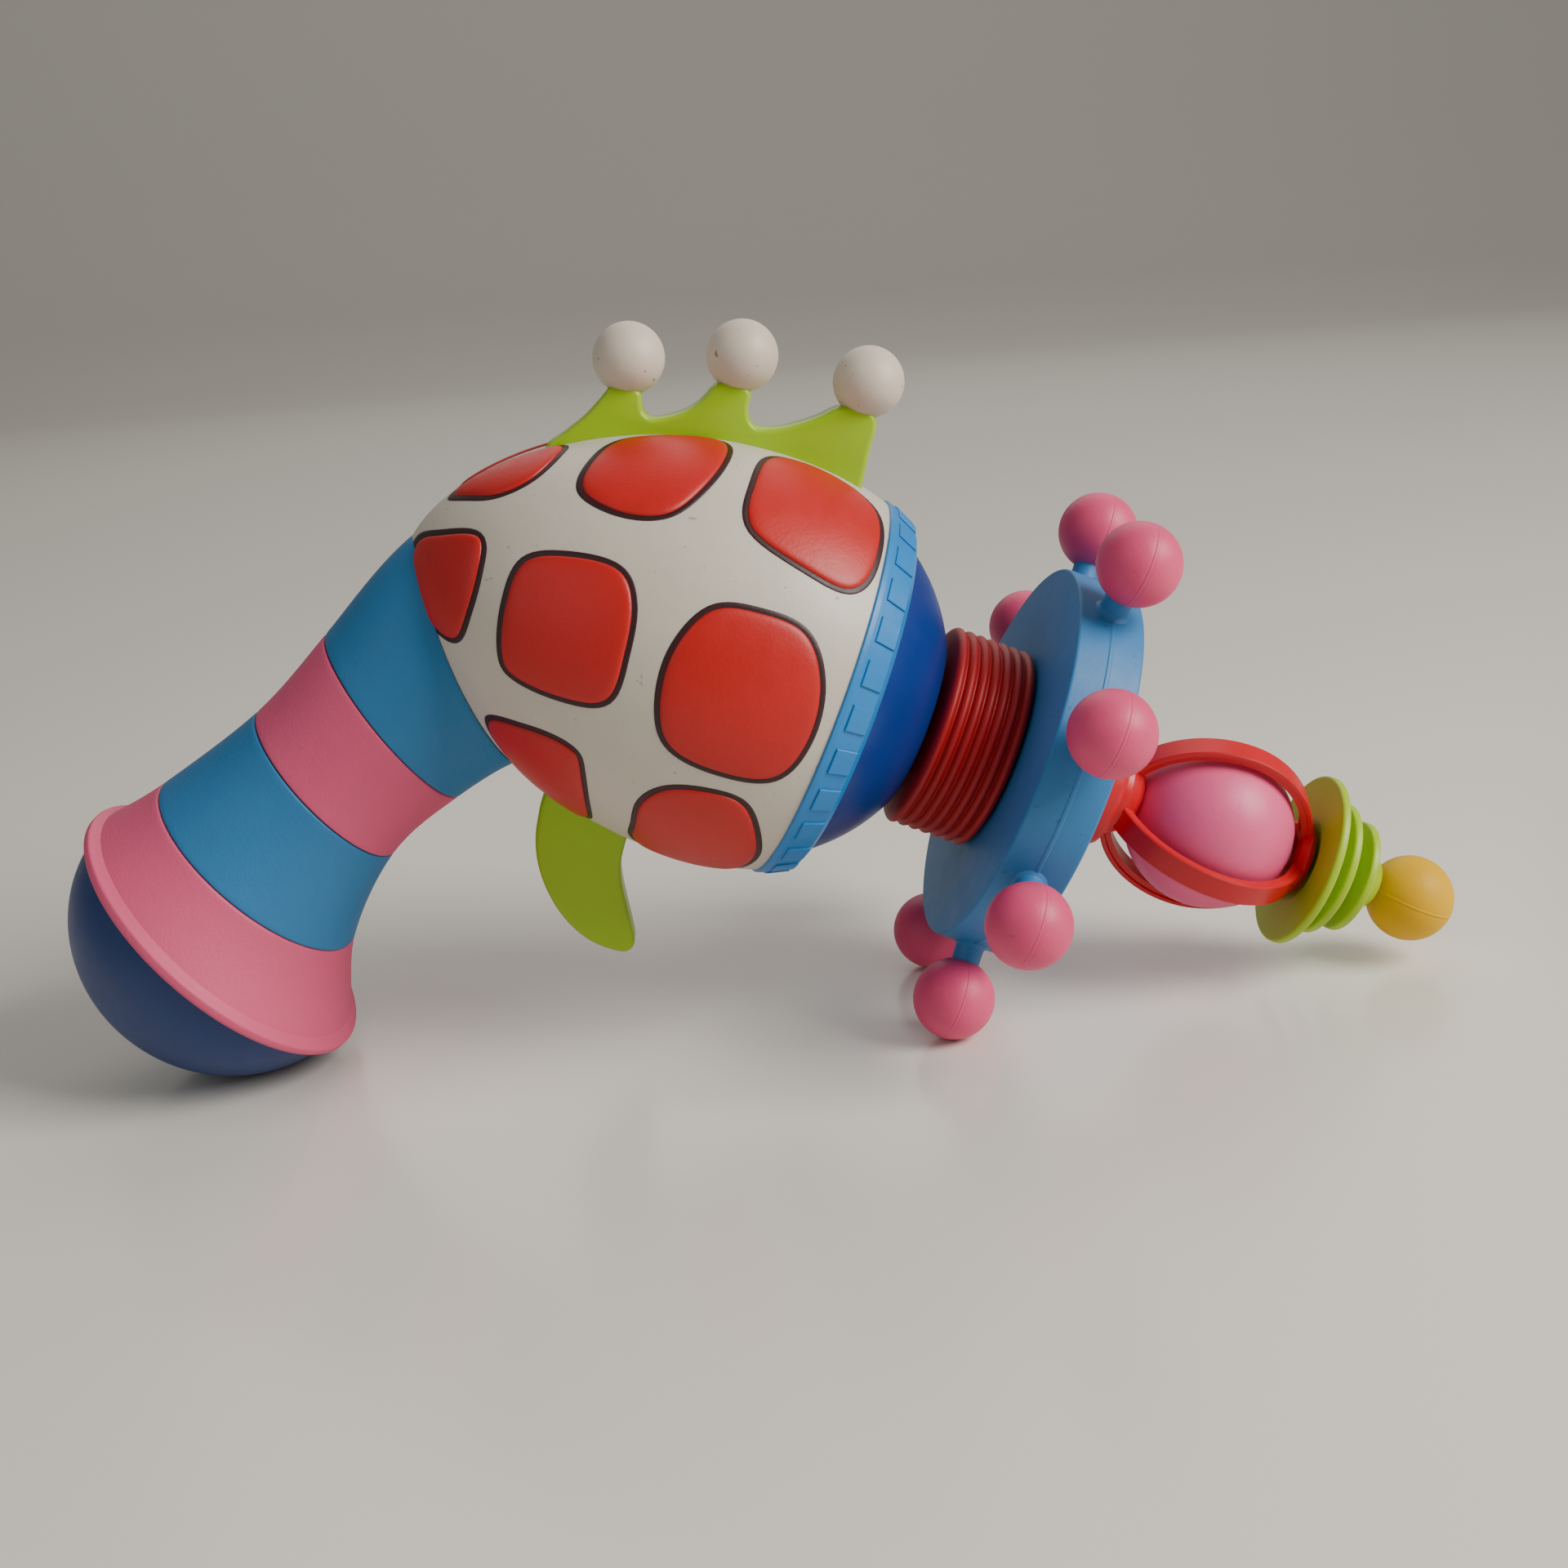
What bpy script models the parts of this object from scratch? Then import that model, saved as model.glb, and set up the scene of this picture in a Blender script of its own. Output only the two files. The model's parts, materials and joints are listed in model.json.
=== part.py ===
"""Hand-held rattle toy shaped like a ray gun, in its resting pose.

World frame: metres, +Z up, the table is Z = 0, the muzzle points to +X and
nose down.  The toy stands on the round butt of its grip and on the two lowest
balls of the ball wheel.  Everything is modelled in the barrel frame, an empty
whose +X runs along the barrel to the muzzle and whose origin is the centre of
the ball wheel; a length written in mm is multiplied by MM.
"""
import bpy, bmesh, math
from mathutils import Vector, Matrix

for o in list(bpy.data.objects):
    bpy.data.objects.remove(o, do_unlink=True)

MM = 0.001
# ---------------------------------------------------------------- dimensions
PITCH = math.radians(24.9)      # nose-down angle of the barrel at rest
WHEEL_X = 0.05897                # wheel centre in the world
WHEEL_Z = 0.05545
GAP = 0.3                       # clearance between neighbouring pieces

EGG_C, EGG_R = -70.0, 45.3      # largest section of the egg
EGG_BACK, EGG_FRONT = 72.8, 56.0
EGG_END = -49.0                 # open front rim of the egg
EGG_WALL = 2.2
BALL_R = 9.0                    # balls of the wheel
BALL_PITCH_R = 55.2
WHEEL_R, WHEEL_HALF = 42.9, 7.4
PEG_R = 3.2
CROWN_BALL_R = 7.55
TIP_BALL_R, TIP_A = 9.85, 95.7
AXLE_R = 3.0
PLATE_HALF = 4.0                # half thickness of crown and trigger
CAGE_R, CAGE_C = 22.2, 45.0
CAGE_BACK, CAGE_FRONT = 25.5, 22.5
PINK_R = 18.4
TRIG_PIVOT = (-86.0, -27.0)
SEG = 22

col = bpy.data.collections.new("ray_gun_rattle")
cut = bpy.data.collections.new("cutters")
for c in (col, cut):
    bpy.context.scene.collection.children.link(c)

frame = bpy.data.objects.new("barrel_frame", None)
frame.location = (WHEEL_X, 0, WHEEL_Z)
frame.rotation_euler = (0, PITCH, 0)
col.objects.link(frame)


# ---------------------------------------------------------------- materials
def mat(name, rgb, rough=0.45, metal=0.0):
    m = bpy.data.materials.get(name)
    if m:
        return m
    m = bpy.data.materials.new(name)
    m.use_nodes = True
    b = m.node_tree.nodes["Principled BSDF"]
    b.inputs["Base Color"].default_value = (*[(v / 255) ** 2.2 for v in rgb], 1)
    b.inputs["Roughness"].default_value = rough
    b.inputs["Metallic"].default_value = metal
    m.diffuse_color = (*[(v / 255) ** 2.2 for v in rgb], 1)
    return m


M_EGG = mat("shell_ivory", (205, 200, 190), 0.42)
M_PAD = mat("pad_red", (205, 45, 35), 0.4)
M_RING = mat("ring_blue", (30, 135, 205), 0.4)
M_NAVY = mat("dome_navy", (10, 45, 115), 0.4)
M_LIME = mat("lime_green", (165, 205, 20), 0.35)
M_IVORY = mat("ball_ivory", (210, 200, 190), 0.5)
M_GBLUE = mat("grip_blue", (40, 115, 165), 0.6)
M_GPINK = mat("grip_pink", (215, 100, 130), 0.6)
M_NECK = mat("neck_red", (140, 20, 28), 0.35)
M_WHEEL = mat("wheel_blue", (75, 140, 190), 0.5)
M_BALL = mat("ball_pink", (225, 100, 135), 0.5)
M_CAGE = mat("cage_red", (220, 40, 50), 0.35)
M_PEGG = mat("rattle_pink", (242, 135, 170), 0.45)
M_DISC = mat("disc_green", (165, 200, 40), 0.45)
M_TIP = mat("tip_yellow", (238, 198, 35), 0.5)
M_INNER = mat("inner_white", (225, 225, 220), 0.5)
M_STEEL = mat("spring_steel", (170, 172, 176), 0.3, 1.0)
M_BEAD = mat("bead_white", (235, 235, 230), 0.4)


# ---------------------------------------------------------------- helpers
def link(name, mesh, material, collection=col, parent=frame, loc=(0, 0, 0), rot=(0, 0, 0)):
    ob = bpy.data.objects.new(name, mesh)
    collection.objects.link(ob)
    if material:
        ob.data.materials.clear()
        ob.data.materials.append(material)
    ob.parent = parent
    ob.location = Vector(loc) * MM
    ob.rotation_euler = rot
    if collection is cut:
        ob.hide_render = True
        ob.display_type = 'WIRE'
    return ob


def finish_bm(bm, name):
    me = bpy.data.meshes.new(name)
    bmesh.ops.recalc_face_normals(bm, faces=bm.faces)
    bm.to_mesh(me)
    bm.free()
    return me


def turned(name, profile, material, seg=SEG, at=0.0, collection=col, parent=frame):
    """A ring turned about the barrel.  profile: closed loop of (a, r) in mm,
    listed so that the outer side runs from the muzzle end back to the grip."""
    bm = bmesh.new()
    vs = [bm.verts.new((r * MM, 0, (a - at) * MM)) for a, r in profile]
    n = len(vs)
    axis = [i for i, (a, r) in enumerate(profile) if r <= 1e-6]
    for i in range(n):
        j = (i + 1) % n
        if i in axis and j in axis:
            continue
        bm.edges.new((vs[i], vs[j]))
    me = bpy.data.meshes.new(name)
    bm.to_mesh(me)
    bm.free()
    ob = link(name, me, material, collection, parent, (at, 0, 0), (0, math.pi / 2, 0))
    s = ob.modifiers.new("turn", 'SCREW')
    s.axis = 'Z'
    s.steps = s.render_steps = seg
    s.use_merge_vertices = True
    s.merge_threshold = 0.00005
    s.use_normal_calculate = True
    s.use_smooth_shade = True
    # outward faces: the signed volume of the turned body is positive
    bpy.context.view_layer.update()
    ev = ob.evaluated_get(bpy.context.evaluated_depsgraph_get())
    tb = bmesh.new()
    tb.from_mesh(ev.to_mesh())
    if tb.calc_volume(signed=True) < 0:
        s.use_normal_flip = True
    tb.free()
    ev.to_mesh_clear()
    return ob


def ball(name, r, centre, material, seg=12, rings=8, parent=frame, axis_rot=(0, 0, 0), collection=col):
    bm = bmesh.new()
    bmesh.ops.create_uvsphere(bm, u_segments=seg, v_segments=rings, radius=r * MM)
    me = finish_bm(bm, name)
    me.shade_smooth()
    return link(name, me, material, collection, parent, centre, axis_rot)


def rod(name, r, p, q, material, seg=16, collection=col, parent=frame, r2=None):
    """Straight round bar from p to q (mm, in the parent's frame)."""
    p, q = Vector(p), Vector(q)
    d = q - p
    bm = bmesh.new()
    bmesh.ops.create_cone(bm, cap_ends=True, cap_tris=False, segments=seg,
                          radius1=r * MM, radius2=(r if r2 is None else r2) * MM, depth=d.length * MM)
    me = finish_bm(bm, name)
    ob = link(name, me, material, collection, parent, (p + q) / 2)
    ob.rotation_mode = 'QUATERNION'
    ob.rotation_quaternion = d.to_track_quat('Z', 'Y')
    return ob


def box(name, lo, hi, material, collection=col, parent=frame):
    lo, hi = Vector(lo), Vector(hi)
    bm = bmesh.new()
    bmesh.ops.create_cube(bm, size=1.0)
    d = hi - lo
    for v in bm.verts:
        v.co = Vector((v.co.x * d.x, v.co.y * d.y, v.co.z * d.z)) * MM
    return link(name, finish_bm(bm, name), material, collection, parent, (lo + hi) / 2)


def plate(name, outline, half, material, bevel=0.0, collection=col, parent=frame, at=(0, 0)):
    """Flat plate standing in the barrel's upright plane; outline of (a, b) in mm."""
    cu = bpy.data.curves.new(name, 'CURVE')
    cu.dimensions = '2D'
    cu.fill_mode = 'BOTH'
    cu.extrude = half * MM
    sp = cu.splines.new('POLY')
    sp.points.add(len(outline) - 1)
    for p, (a, b) in zip(sp.points, outline):
        p.co = ((a - at[0]) * MM, (b - at[1]) * MM, 0, 1)
    sp.use_cyclic_u = True
    tmp = bpy.data.objects.new(name + "_curve", cu)
    col.objects.link(tmp)
    bpy.context.view_layer.update()
    me = bpy.data.meshes.new_from_object(tmp.evaluated_get(bpy.context.evaluated_depsgraph_get()))
    bm = bmesh.new()
    bm.from_mesh(me)
    bmesh.ops.remove_doubles(bm, verts=bm.verts, dist=0.00001)
    # lay the curve's XY plane into the frame's XZ plane
    bmesh.ops.transform(bm, matrix=Matrix.Rotation(math.pi / 2, 4, 'X'), verts=bm.verts)
    me2 = finish_bm(bm, name)
    bpy.data.objects.remove(tmp, do_unlink=True)
    bpy.data.curves.remove(cu)
    bpy.data.meshes.remove(me)
    ob = link(name, me2, material, collection, parent, (at[0], 0, at[1]))
    if bevel:
        b = ob.modifiers.new("edge", 'BEVEL')
        b.width = bevel * MM
        b.segments = 2
        b.limit_method = 'ANGLE'
        b.angle_limit = math.radians(60)
    return ob


def boolean(ob, other, op='DIFFERENCE'):
    m = ob.modifiers.new(op.lower(), 'BOOLEAN')
    m.operation = op
    m.object = other
    m.solver = 'EXACT'
    return m


def smooth(ob, angle=35):
    ob.data.shade_smooth()
    ob.data.set_sharp_from_angle(angle=math.radians(angle))


# ---------------------------------------------------------------- egg form
def egg_r(a, grow=0.0):
    """Radius of the egg at station a (mm), offset outward by grow."""
    L = (EGG_BACK if a < EGG_C else EGG_FRONT) + grow
    t = min(1.0, abs(a - EGG_C) / L)
    p = 0.625 if a < EGG_C else 0.5
    return (EGG_R + grow) * (1 - t * t) ** p


def egg_point(a, theta, grow=0.0):
    """Point on the egg; theta 0 is the top, +90 degrees the near side (-Y)."""
    e = 0.05
    ra, rb = egg_r(a - e), egg_r(a + e)
    slope = (rb - ra) / (2 * e)
    n = Vector((-slope, 1)).normalized()
    a2, r2 = a + n.x * grow, egg_r(a) + n.y * grow
    return Vector((a2, -r2 * math.sin(theta), r2 * math.cos(theta)))


def egg_profile(grow, a0, a1, n):
    """(a, r) list from a1 (front) back to a0, closer together at the tip."""
    out = []
    for i in range(n + 1):
        u = i / n
        a = a1 + (a0 - a1) * math.sin(u * math.pi / 2)
        out.append((a, egg_r(a, grow)))
    return out


# egg shell: one blow-moulded wall, open at the front where the dome plugs it
tip_a = EGG_C - EGG_BACK
outer = egg_profile(0.0, tip_a, EGG_END, 10)
inner = [(a, r) for a, r in reversed(egg_profile(-EGG_WALL, tip_a + EGG_WALL, EGG_END, 6))]
outer[-1] = (tip_a, 0.0)
inner[0] = (tip_a + EGG_WALL, 0.0)
egg = turned("egg_shell", outer + inner, M_EGG, seg=28)


def egg_cutter(name, grow, n=10, seg=28):
    prof = egg_profile(grow, tip_a - grow, EGG_END + 30 * 0 + 6.0, n)
    prof[-1] = (tip_a - grow, 0.0)
    prof.append((EGG_END + 6.0, 0.0))
    return turned(name, prof, None, seg=seg, collection=cut)


cut_egg = egg_cutter("cut_egg_outside", GAP + 0.25)


# ---------------------------------------------------------------- red pads
def pad(name, a, theta, half_a, half_s, skew=0.0, tri=0.0, n=3, shrink=0.0, lo=-0.55, hi=0.75, collection=col, material=M_PAD):
    """Pillowed pad that follows the egg.  half_a is along the barrel, half_s
    round it, both in mm; skew shears it, tri narrows its end."""
    bm = bmesh.new()
    bmesh.ops.create_grid(bm, x_segments=n, y_segments=n, size=1.0)
    th = math.radians(theta)
    for v in bm.verts:
        x, y = v.co.x, v.co.y
        # square to rounded square
        k = 0.34
        x2 = x * math.sqrt(1 - k * y * y)
        y2 = y * math.sqrt(1 - k * x * x)
        da = (half_a + shrink) * x2
        ds = (half_s + shrink) * y2 * (1 + tri * x2)
        aa = a + da + skew * ds
        rr = max(8.0, egg_r(aa))
        v.co = egg_point(aa, th + ds / rr, lo) * MM
    # outward side of the patch
    bm.normal_update()
    c = Vector((a * MM, 0, 0))
    f = bm.faces[0] if False else next(iter(bm.faces))
    if f.normal.dot(f.calc_center_median() - c) < 0:
        bmesh.ops.reverse_faces(bm, faces=bm.faces)
    me = bpy.data.meshes.new(name)
    bm.to_mesh(me)
    bm.free()
    ob = link(name, me, material, collection)
    s = ob.modifiers.new("thickness", 'SOLIDIFY')
    s.thickness = (hi - lo) * MM
    s.offset = 1.0
    smooth(ob)
    return ob


# station a, angle round the egg (0 top, 90 near side), half sizes, skew, taper
PADS = [
    ("rear_side",  -133.5,  96,  7.6,  9.6, 0.0, 0.35),
    ("rear_top",   -128.0,  25,  9.4,  8.4, 0.0, 0.30),
    ("rear_low",   -102.0, 142, 13.4, 13.0, 0.0, 0.15),
    ("mid_side",   -106.0,  89, 12.6, 15.2, 0.0, 0.05),
    ("mid_top",     -99.5,  28, 12.8, 15.2, 0.0, 0.10),
    ("front_top",   -66.0,  30, 14.2, 17.2, 0.0, 0.0),
    ("front_side",  -69.8,  87, 15.8, 16.8, 0.0, 0.0),
    ("front_low",   -67.0, 136, 13.4, 16.0, 0.0, 0.0),
]
pads = []
for label, a, th, ha, hs, sk, tr in PADS:
    for side, sgn in (("near", 1), ("far", -1)):
        pads.append(pad(f"pad_{label}_{side}", a, sgn * th, ha, hs, sk, tr))
        c = pad(f"cut_pad_{label}_{side}", a, sgn * th, ha, hs, sk, tr, shrink=0.35, lo=-0.95, hi=2.5,
                collection=cut, material=None)
        boolean(egg, c)

# ---------------------------------------------------------------- bezel ring and front dome
DOME_C, DOME_R = -65.3, 42.4


def dome_r(a, grow=0.0):
    return math.sqrt(max(0.0, (DOME_R + grow) ** 2 - (a - DOME_C) ** 2))


turned("bezel_ring", [(-42.2, 37.6), (-43.4, 40.0), (-48.9, 42.7), (-50.0, 42.95), (-50.3, 42.7),
                      (-50.3, 42.55), (-48.7, 42.55), (-48.7, 38.6), (-42.2, 37.0)], M_RING, seg=28)
dome_out = [(a, dome_r(a)) for a in (-27.8, -31.0, -36.0, -41.9)]
turned("front_dome", dome_out + [(-41.9, 36.2), (-48.2, 37.6), (-52.0, 37.6), (-52.0, 35.5),
                                 (-40.0, 30.5), (-30.6, 19.0), (-30.6, 10.6), (-27.8, 10.6)],
       M_NAVY, seg=26)

# ---------------------------------------------------------------- ribbed neck
neck_front, neck_back, ribs = -7.9, -26.0, 7
prof = []
step = (neck_front - neck_back) / ribs
for i in range(ribs):
    a = neck_front - i * step
    prof += [(a - 0.08 * step, 21.2), (a - 0.5 * step, 22.7)]
prof = [(neck_front, 19.0)] + prof + [(neck_back, 19.5), (neck_back, 10.1), (-34.0, 10.1), (-34.0, 3.35),
                                      (-24.2, 3.35), (-24.2, 18.6), (neck_front, 18.6)]
turned("ribbed_neck", prof, M_NECK, seg=20)

# ---------------------------------------------------------------- axle
turned("barrel_axle", [(88.5, 0), (88.5, AXLE_R), (-39.0, AXLE_R), (-39.0, 6.0), (-42.0, 6.0), (-42.0, 0)],
       M_INNER, seg=14)
turned("axle_washer", [(-34.5, 9.0), (-36.0, 9.0), (-36.0, 3.35), (-34.5, 3.35)], M_STEEL, seg=16)
turned("axle_clip", [(-36.4, 7.0), (-38.6, 7.0), (-38.6, 3.35), (-36.4, 3.35)], M_STEEL, seg=16)

# ---------------------------------------------------------------- ball wheel
wheel = turned("ball_wheel", [(WHEEL_HALF, 41.9), (WHEEL_HALF - 1.0, WHEEL_R), (-WHEEL_HALF + 1.0, WHEEL_R),
                              (-WHEEL_HALF, 41.9), (-WHEEL_HALF, AXLE_R + 0.35), (WHEEL_HALF, AXLE_R + 0.35)],
               M_WHEEL, seg=32)
BALL_ANGLES = [22.5 + 45 * i for i in range(8)]
for i, t in enumerate(BALL_ANGLES):
    th = math.radians(t)
    d = Vector((0, -math.sin(th), -math.cos(th)))
    peg = rod(f"cut_peg_{i+1}", PEG_R, d * (WHEEL_R - 3), d * (BALL_PITCH_R - 3.0), None, seg=8, collection=cut)
    boolean(wheel, peg, 'UNION')
    b = ball(f"wheel_ball_{i+1}", BALL_R, d * BALL_PITCH_R, M_BALL)
    # pole of each ball on its peg, so that its seam lies in the plane of the wheel
    b.rotation_mode = 'QUATERNION'
    b.rotation_quaternion = d.to_track_quat('Z', 'Y')
    sock = rod(f"cut_socket_{i+1}", PEG_R + GAP, d * (BALL_PITCH_R - BALL_R - 3), d * (BALL_PITCH_R - 2.6), None,
               seg=8, collection=cut)
    boolean(b, sock)

# ratchet on the wheel's rear sleeve, and the tongue that clicks on it
TEETH = 16
bm = bmesh.new()
ring_pts = []
for i in range(TEETH):
    for k, r in ((0.0, 15.6), (0.5, 12.6)):
        ang = 2 * math.pi * (i + k) / TEETH
        ring_pts.append((r * math.cos(ang), r * math.sin(ang)))
vs = [bm.verts.new((-21.5 * MM, y * MM, z * MM)) for y, z in ring_pts]
f = bm.faces.new(vs)
ext = bmesh.ops.extrude_face_region(bm, geom=[f])
bmesh.ops.translate(bm, vec=(3.5 * MM, 0, 0), verts=[g for g in ext["geom"] if isinstance(g, bmesh.types.BMVert)])
ratchet = link("click_ratchet", finish_bm(bm, "click_ratchet"), M_INNER)
sleeve = turned("cut_sleeve", [(-7.75, 7.0), (-20.0, 7.0), (-20.0, 0), (-7.75, 0)], None, seg=16, collection=cut)
boolean(ratchet, sleeve, 'UNION')
bore = rod("cut_ratchet_bore", AXLE_R + 0.35, (-24, 0, 0), (-5, 0, 0), None, seg=14, collection=cut)
boolean(ratchet, bore)
box("click_tongue", (-23.9, -2.0, 15.95), (-18.5, 2.0, 17.4), M_INNER)

# ---------------------------------------------------------------- hub flange, cage, rattle egg
turned("hub_flange", [(19.8, 12.9), (18.6, 13.3), (9.2, 15.0), (7.75, 15.0), (7.75, AXLE_R + 0.35), (19.8, AXLE_R + 0.35)],
       M_CAGE, seg=20)


def cage_r(a, grow=0.0):
    L = (CAGE_BACK if a < CAGE_C else CAGE_FRONT) + grow
    t = min(1.0, abs(a - CAGE_C) / L)
    return (CAGE_R + grow) * math.sqrt(1 - t * t)


CAGE_A0, CAGE_A1 = 20.1, 68.3
# one rib: a bent flat bar in the plane of the axle, mirrored and crossed
def rib_outline():
    top, low = [], []
    n = 6
    for i in range(n + 1):
        u = -1 + 2 * i / n
        a = CAGE_C + (CAGE_FRONT if u > 0 else CAGE_BACK) * math.sin(u * math.pi / 2 * 0.86)
        top.append((a, cage_r(a)))
    for i in range(n + 1):
        u = 1 - 2 * i / n
        L = (CAGE_FRONT if u > 0 else CAGE_BACK) - 2.1
        a = CAGE_C + L * math.sin(u * math.pi / 2 * 0.86)
        t = abs(a - CAGE_C) / L
        low.append((a, (CAGE_R - 1.9) * math.sqrt(max(0, 1 - t * t))))
    return top, low


top, low = rib_outline()
ring = [(a, r) for a, r in top] + [(a, r) for a, r in low]
hubs = turned("spinner_cage", [(24.6, 6.4), (24.6, 7.6), (CAGE_A0, 9.0), (CAGE_A0, AXLE_R + 0.35), (24.6, AXLE_R + 0.35)],
              M_CAGE, seg=20)
front_hub = turned("cut_front_hub", [(CAGE_A1 - 0.0, 6.0), (66.6, 9.0), (64.9, 9.0), (64.9, AXLE_R + 0.35),
                                     (CAGE_A1 - 0.0, AXLE_R + 0.35)], None, seg=20, collection=cut)
boolean(hubs, front_hub, 'UNION')
RIB_ANGLES = (22.0, 112.0, 202.0, 292.0)     # from the top, towards the near side
for i, t in enumerate(RIB_ANGLES):
    rb = plate(f"cut_rib_{i+1}", ring, 2.4, None, collection=cut)
    rb.rotation_euler = (math.radians(t), 0, 0)
    boolean(hubs, rb, 'UNION')

cage_bore = rod("cut_cage_bore", AXLE_R + 0.35, (15, 0, 0), (75, 0, 0), None, seg=14, collection=cut)
boolean(hubs, cage_bore)

PE_BACK, PE_FRONT = 19.4, 18.6
pe = []
for i in range(9):
    u = 1 - 2 * i / 8
    L = PE_FRONT if u > 0 else PE_BACK
    a = CAGE_C + L * math.sin(u * math.pi / 2 * 0.97)
    pe.append((a, PINK_R * math.sqrt(1 - ((a - CAGE_C) / L) ** 2)))
pe = [(pe[0][0], AXLE_R + 0.35)] + pe[1:-1] + [(pe[-1][0], AXLE_R + 0.35)]
turned("rattle_egg", pe, M_PEGG, seg=20)

# ---------------------------------------------------------------- discs, collar and tip ball
DISCS = [(66.9, 69.0, 20.0), (72.6, 74.6, 15.6), (78.6, 80.6, 13.0)]
prof = [(85.6, AXLE_R + 0.35), (85.6, 5.4), (83.5, 7.2), (80.6, 10.5)]
for i, (a0, a1, r) in enumerate(reversed(DISCS)):
    prof += [(a1, r), (a0, r)]
    if i < 2:
        prof += [(a0, 7.0), (DISCS[1 - i][1], 7.0)]
prof[3] = (80.6, 10.5)
prof += [(66.9, 9.4), (68.7, 6.4), (68.7, AXLE_R + 0.35)]
turned("disc_stack", prof, M_DISC, seg=22)
tip = ball("tip_ball", TIP_BALL_R, (TIP_A, 0, 0), M_TIP, seg=14, rings=9)
tip.rotation_euler = (0, math.pi / 2, 0)
tip_sock = rod("cut_tip_socket", AXLE_R + GAP, (TIP_A - TIP_BALL_R - 3, 0, 0), (89.0, 0, 0), None, seg=14, collection=cut)
boolean(tip, tip_sock)
tip_flat = rod("cut_tip_flat", 8.0, (TIP_A - TIP_BALL_R - 4, 0, 0), (85.95, 0, 0), None, seg=14, collection=cut)
boolean(tip, tip_flat)

# ---------------------------------------------------------------- crown
CROWN = [(-122.6, 27.0), (-122.2, 29.6), (-119.9, 32.7), (-116.7, 37.7), (-114.3, 43.6), (-113.4, 45.6), (-109.7, 47.2), (-107.0, 46.6),
         (-106.6, 45.2), (-105.4, 43.0), (-103.6, 42.3), (-101.0, 43.5), (-97.9, 45.8), (-95.2, 49.0), (-93.8, 52.8), (-92.6, 54.4),
         (-88.6, 55.4), (-85.8, 54.6), (-85.3, 51.6), (-84.2, 49.2), (-82.0, 48.2), (-78.1, 49.7), (-74.5, 52.0), (-71.0, 54.7),
         (-67.7, 58.0), (-63.4, 59.8), (-59.1, 58.4), (-58.2, 51.7), (-56.6, 42.0), (-70.0, 40.0), (-85.0, 38.0), (-100.0, 32.0)]
CROWN_BALLS = [("rear", -112.05, 52.0), ("middle", -90.1, 60.7), ("front", -63.4, 64.9)]
crown = plate("crown", CROWN, PLATE_HALF, M_LIME)
boolean(crown, cut_egg)
for nm, a, b in CROWN_BALLS:
    cb = ball(f"cut_crown_ball_{nm}", CROWN_BALL_R + 0.45, (a, 0, b), None, seg=12, rings=8, collection=cut)
    boolean(crown, cb)
    base = Vector((a + (2.2 if nm == "rear" else 1.6 if nm == "middle" else 0.3), 0, b - CROWN_BALL_R - 1.0))
    peg = rod(f"cut_crown_peg_{nm}", 1.8, base, (a, 0, b - 0.6), None, seg=8, collection=cut)
    boolean(crown, peg, 'UNION')
    bb = ball(f"crown_ball_{nm}", CROWN_BALL_R, (a, 0, b), M_IVORY, seg=12, rings=8)
    sock = rod(f"cut_crown_socket_{nm}", 1.8 + GAP, base + (base - Vector((a, 0, b))) * 0.3, (a, 0, b + 0.2), None, seg=8, collection=cut)
    boolean(bb, sock)
# two tabs hold the crown in slots of the egg
for k, (a0, a1) in enumerate(((-106.0, -96.0), (-78.0, -66.0))):
    rmid = egg_r((a0 + a1) / 2)
    tab = box(f"cut_crown_tab_{k+1}", (a0, -1.6, rmid - 5.5), (a1, 1.6, rmid + 2.5), None, collection=cut)
    boolean(crown, tab, 'UNION')
    slot = box(f"cut_crown_slot_{k+1}", (a0 - GAP, -1.6 - GAP, rmid - 9.0), (a1 + GAP, 1.6 + GAP, rmid + 4.0), None, collection=cut)
    boolean(egg, slot)

# ---------------------------------------------------------------- trigger
TRIG = [(-98.3, -42.0), (-97.8, -49.0), (-96.7, -53.7), (-94.4, -58.7), (-91.0, -63.3), (-86.4, -67.6), (-81.1, -70.9),
        (-75.8, -72.3), (-70.3, -72.2), (-68.5, -71.2), (-67.9, -68.8), (-69.5, -66.0), (-72.8, -60.8), (-75.5, -56.3),
        (-77.1, -52.5), (-77.6, -49.7), (-78.2, -42.0), (-79.5, -32.0), (-82.0, -22.5), (-88.8, -22.5), (-90.6, -30.2), (-95.8, -30.6)]
trig = plate("trigger", TRIG, PLATE_HALF, M_LIME, at=TRIG_PIVOT)
pin_hole = rod("cut_trigger_hole", 2.3, (TRIG_PIVOT[0], -8, TRIG_PIVOT[1]), (TRIG_PIVOT[0], 8, TRIG_PIVOT[1]), None,
               seg=14, collection=cut)
boolean(trig, pin_hole)
slot = box("cut_trigger_slot", (-103.0, -PLATE_HALF - 0.5, -60.0), (-76.2, PLATE_HALF + 0.5, -34.0), None, collection=cut)
boolean(egg, slot)
rod("trigger_pin", 2.0, (TRIG_PIVOT[0], -11.0, TRIG_PIVOT[1]), (TRIG_PIVOT[0], 11.0, TRIG_PIVOT[1]), M_STEEL, seg=14)
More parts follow.
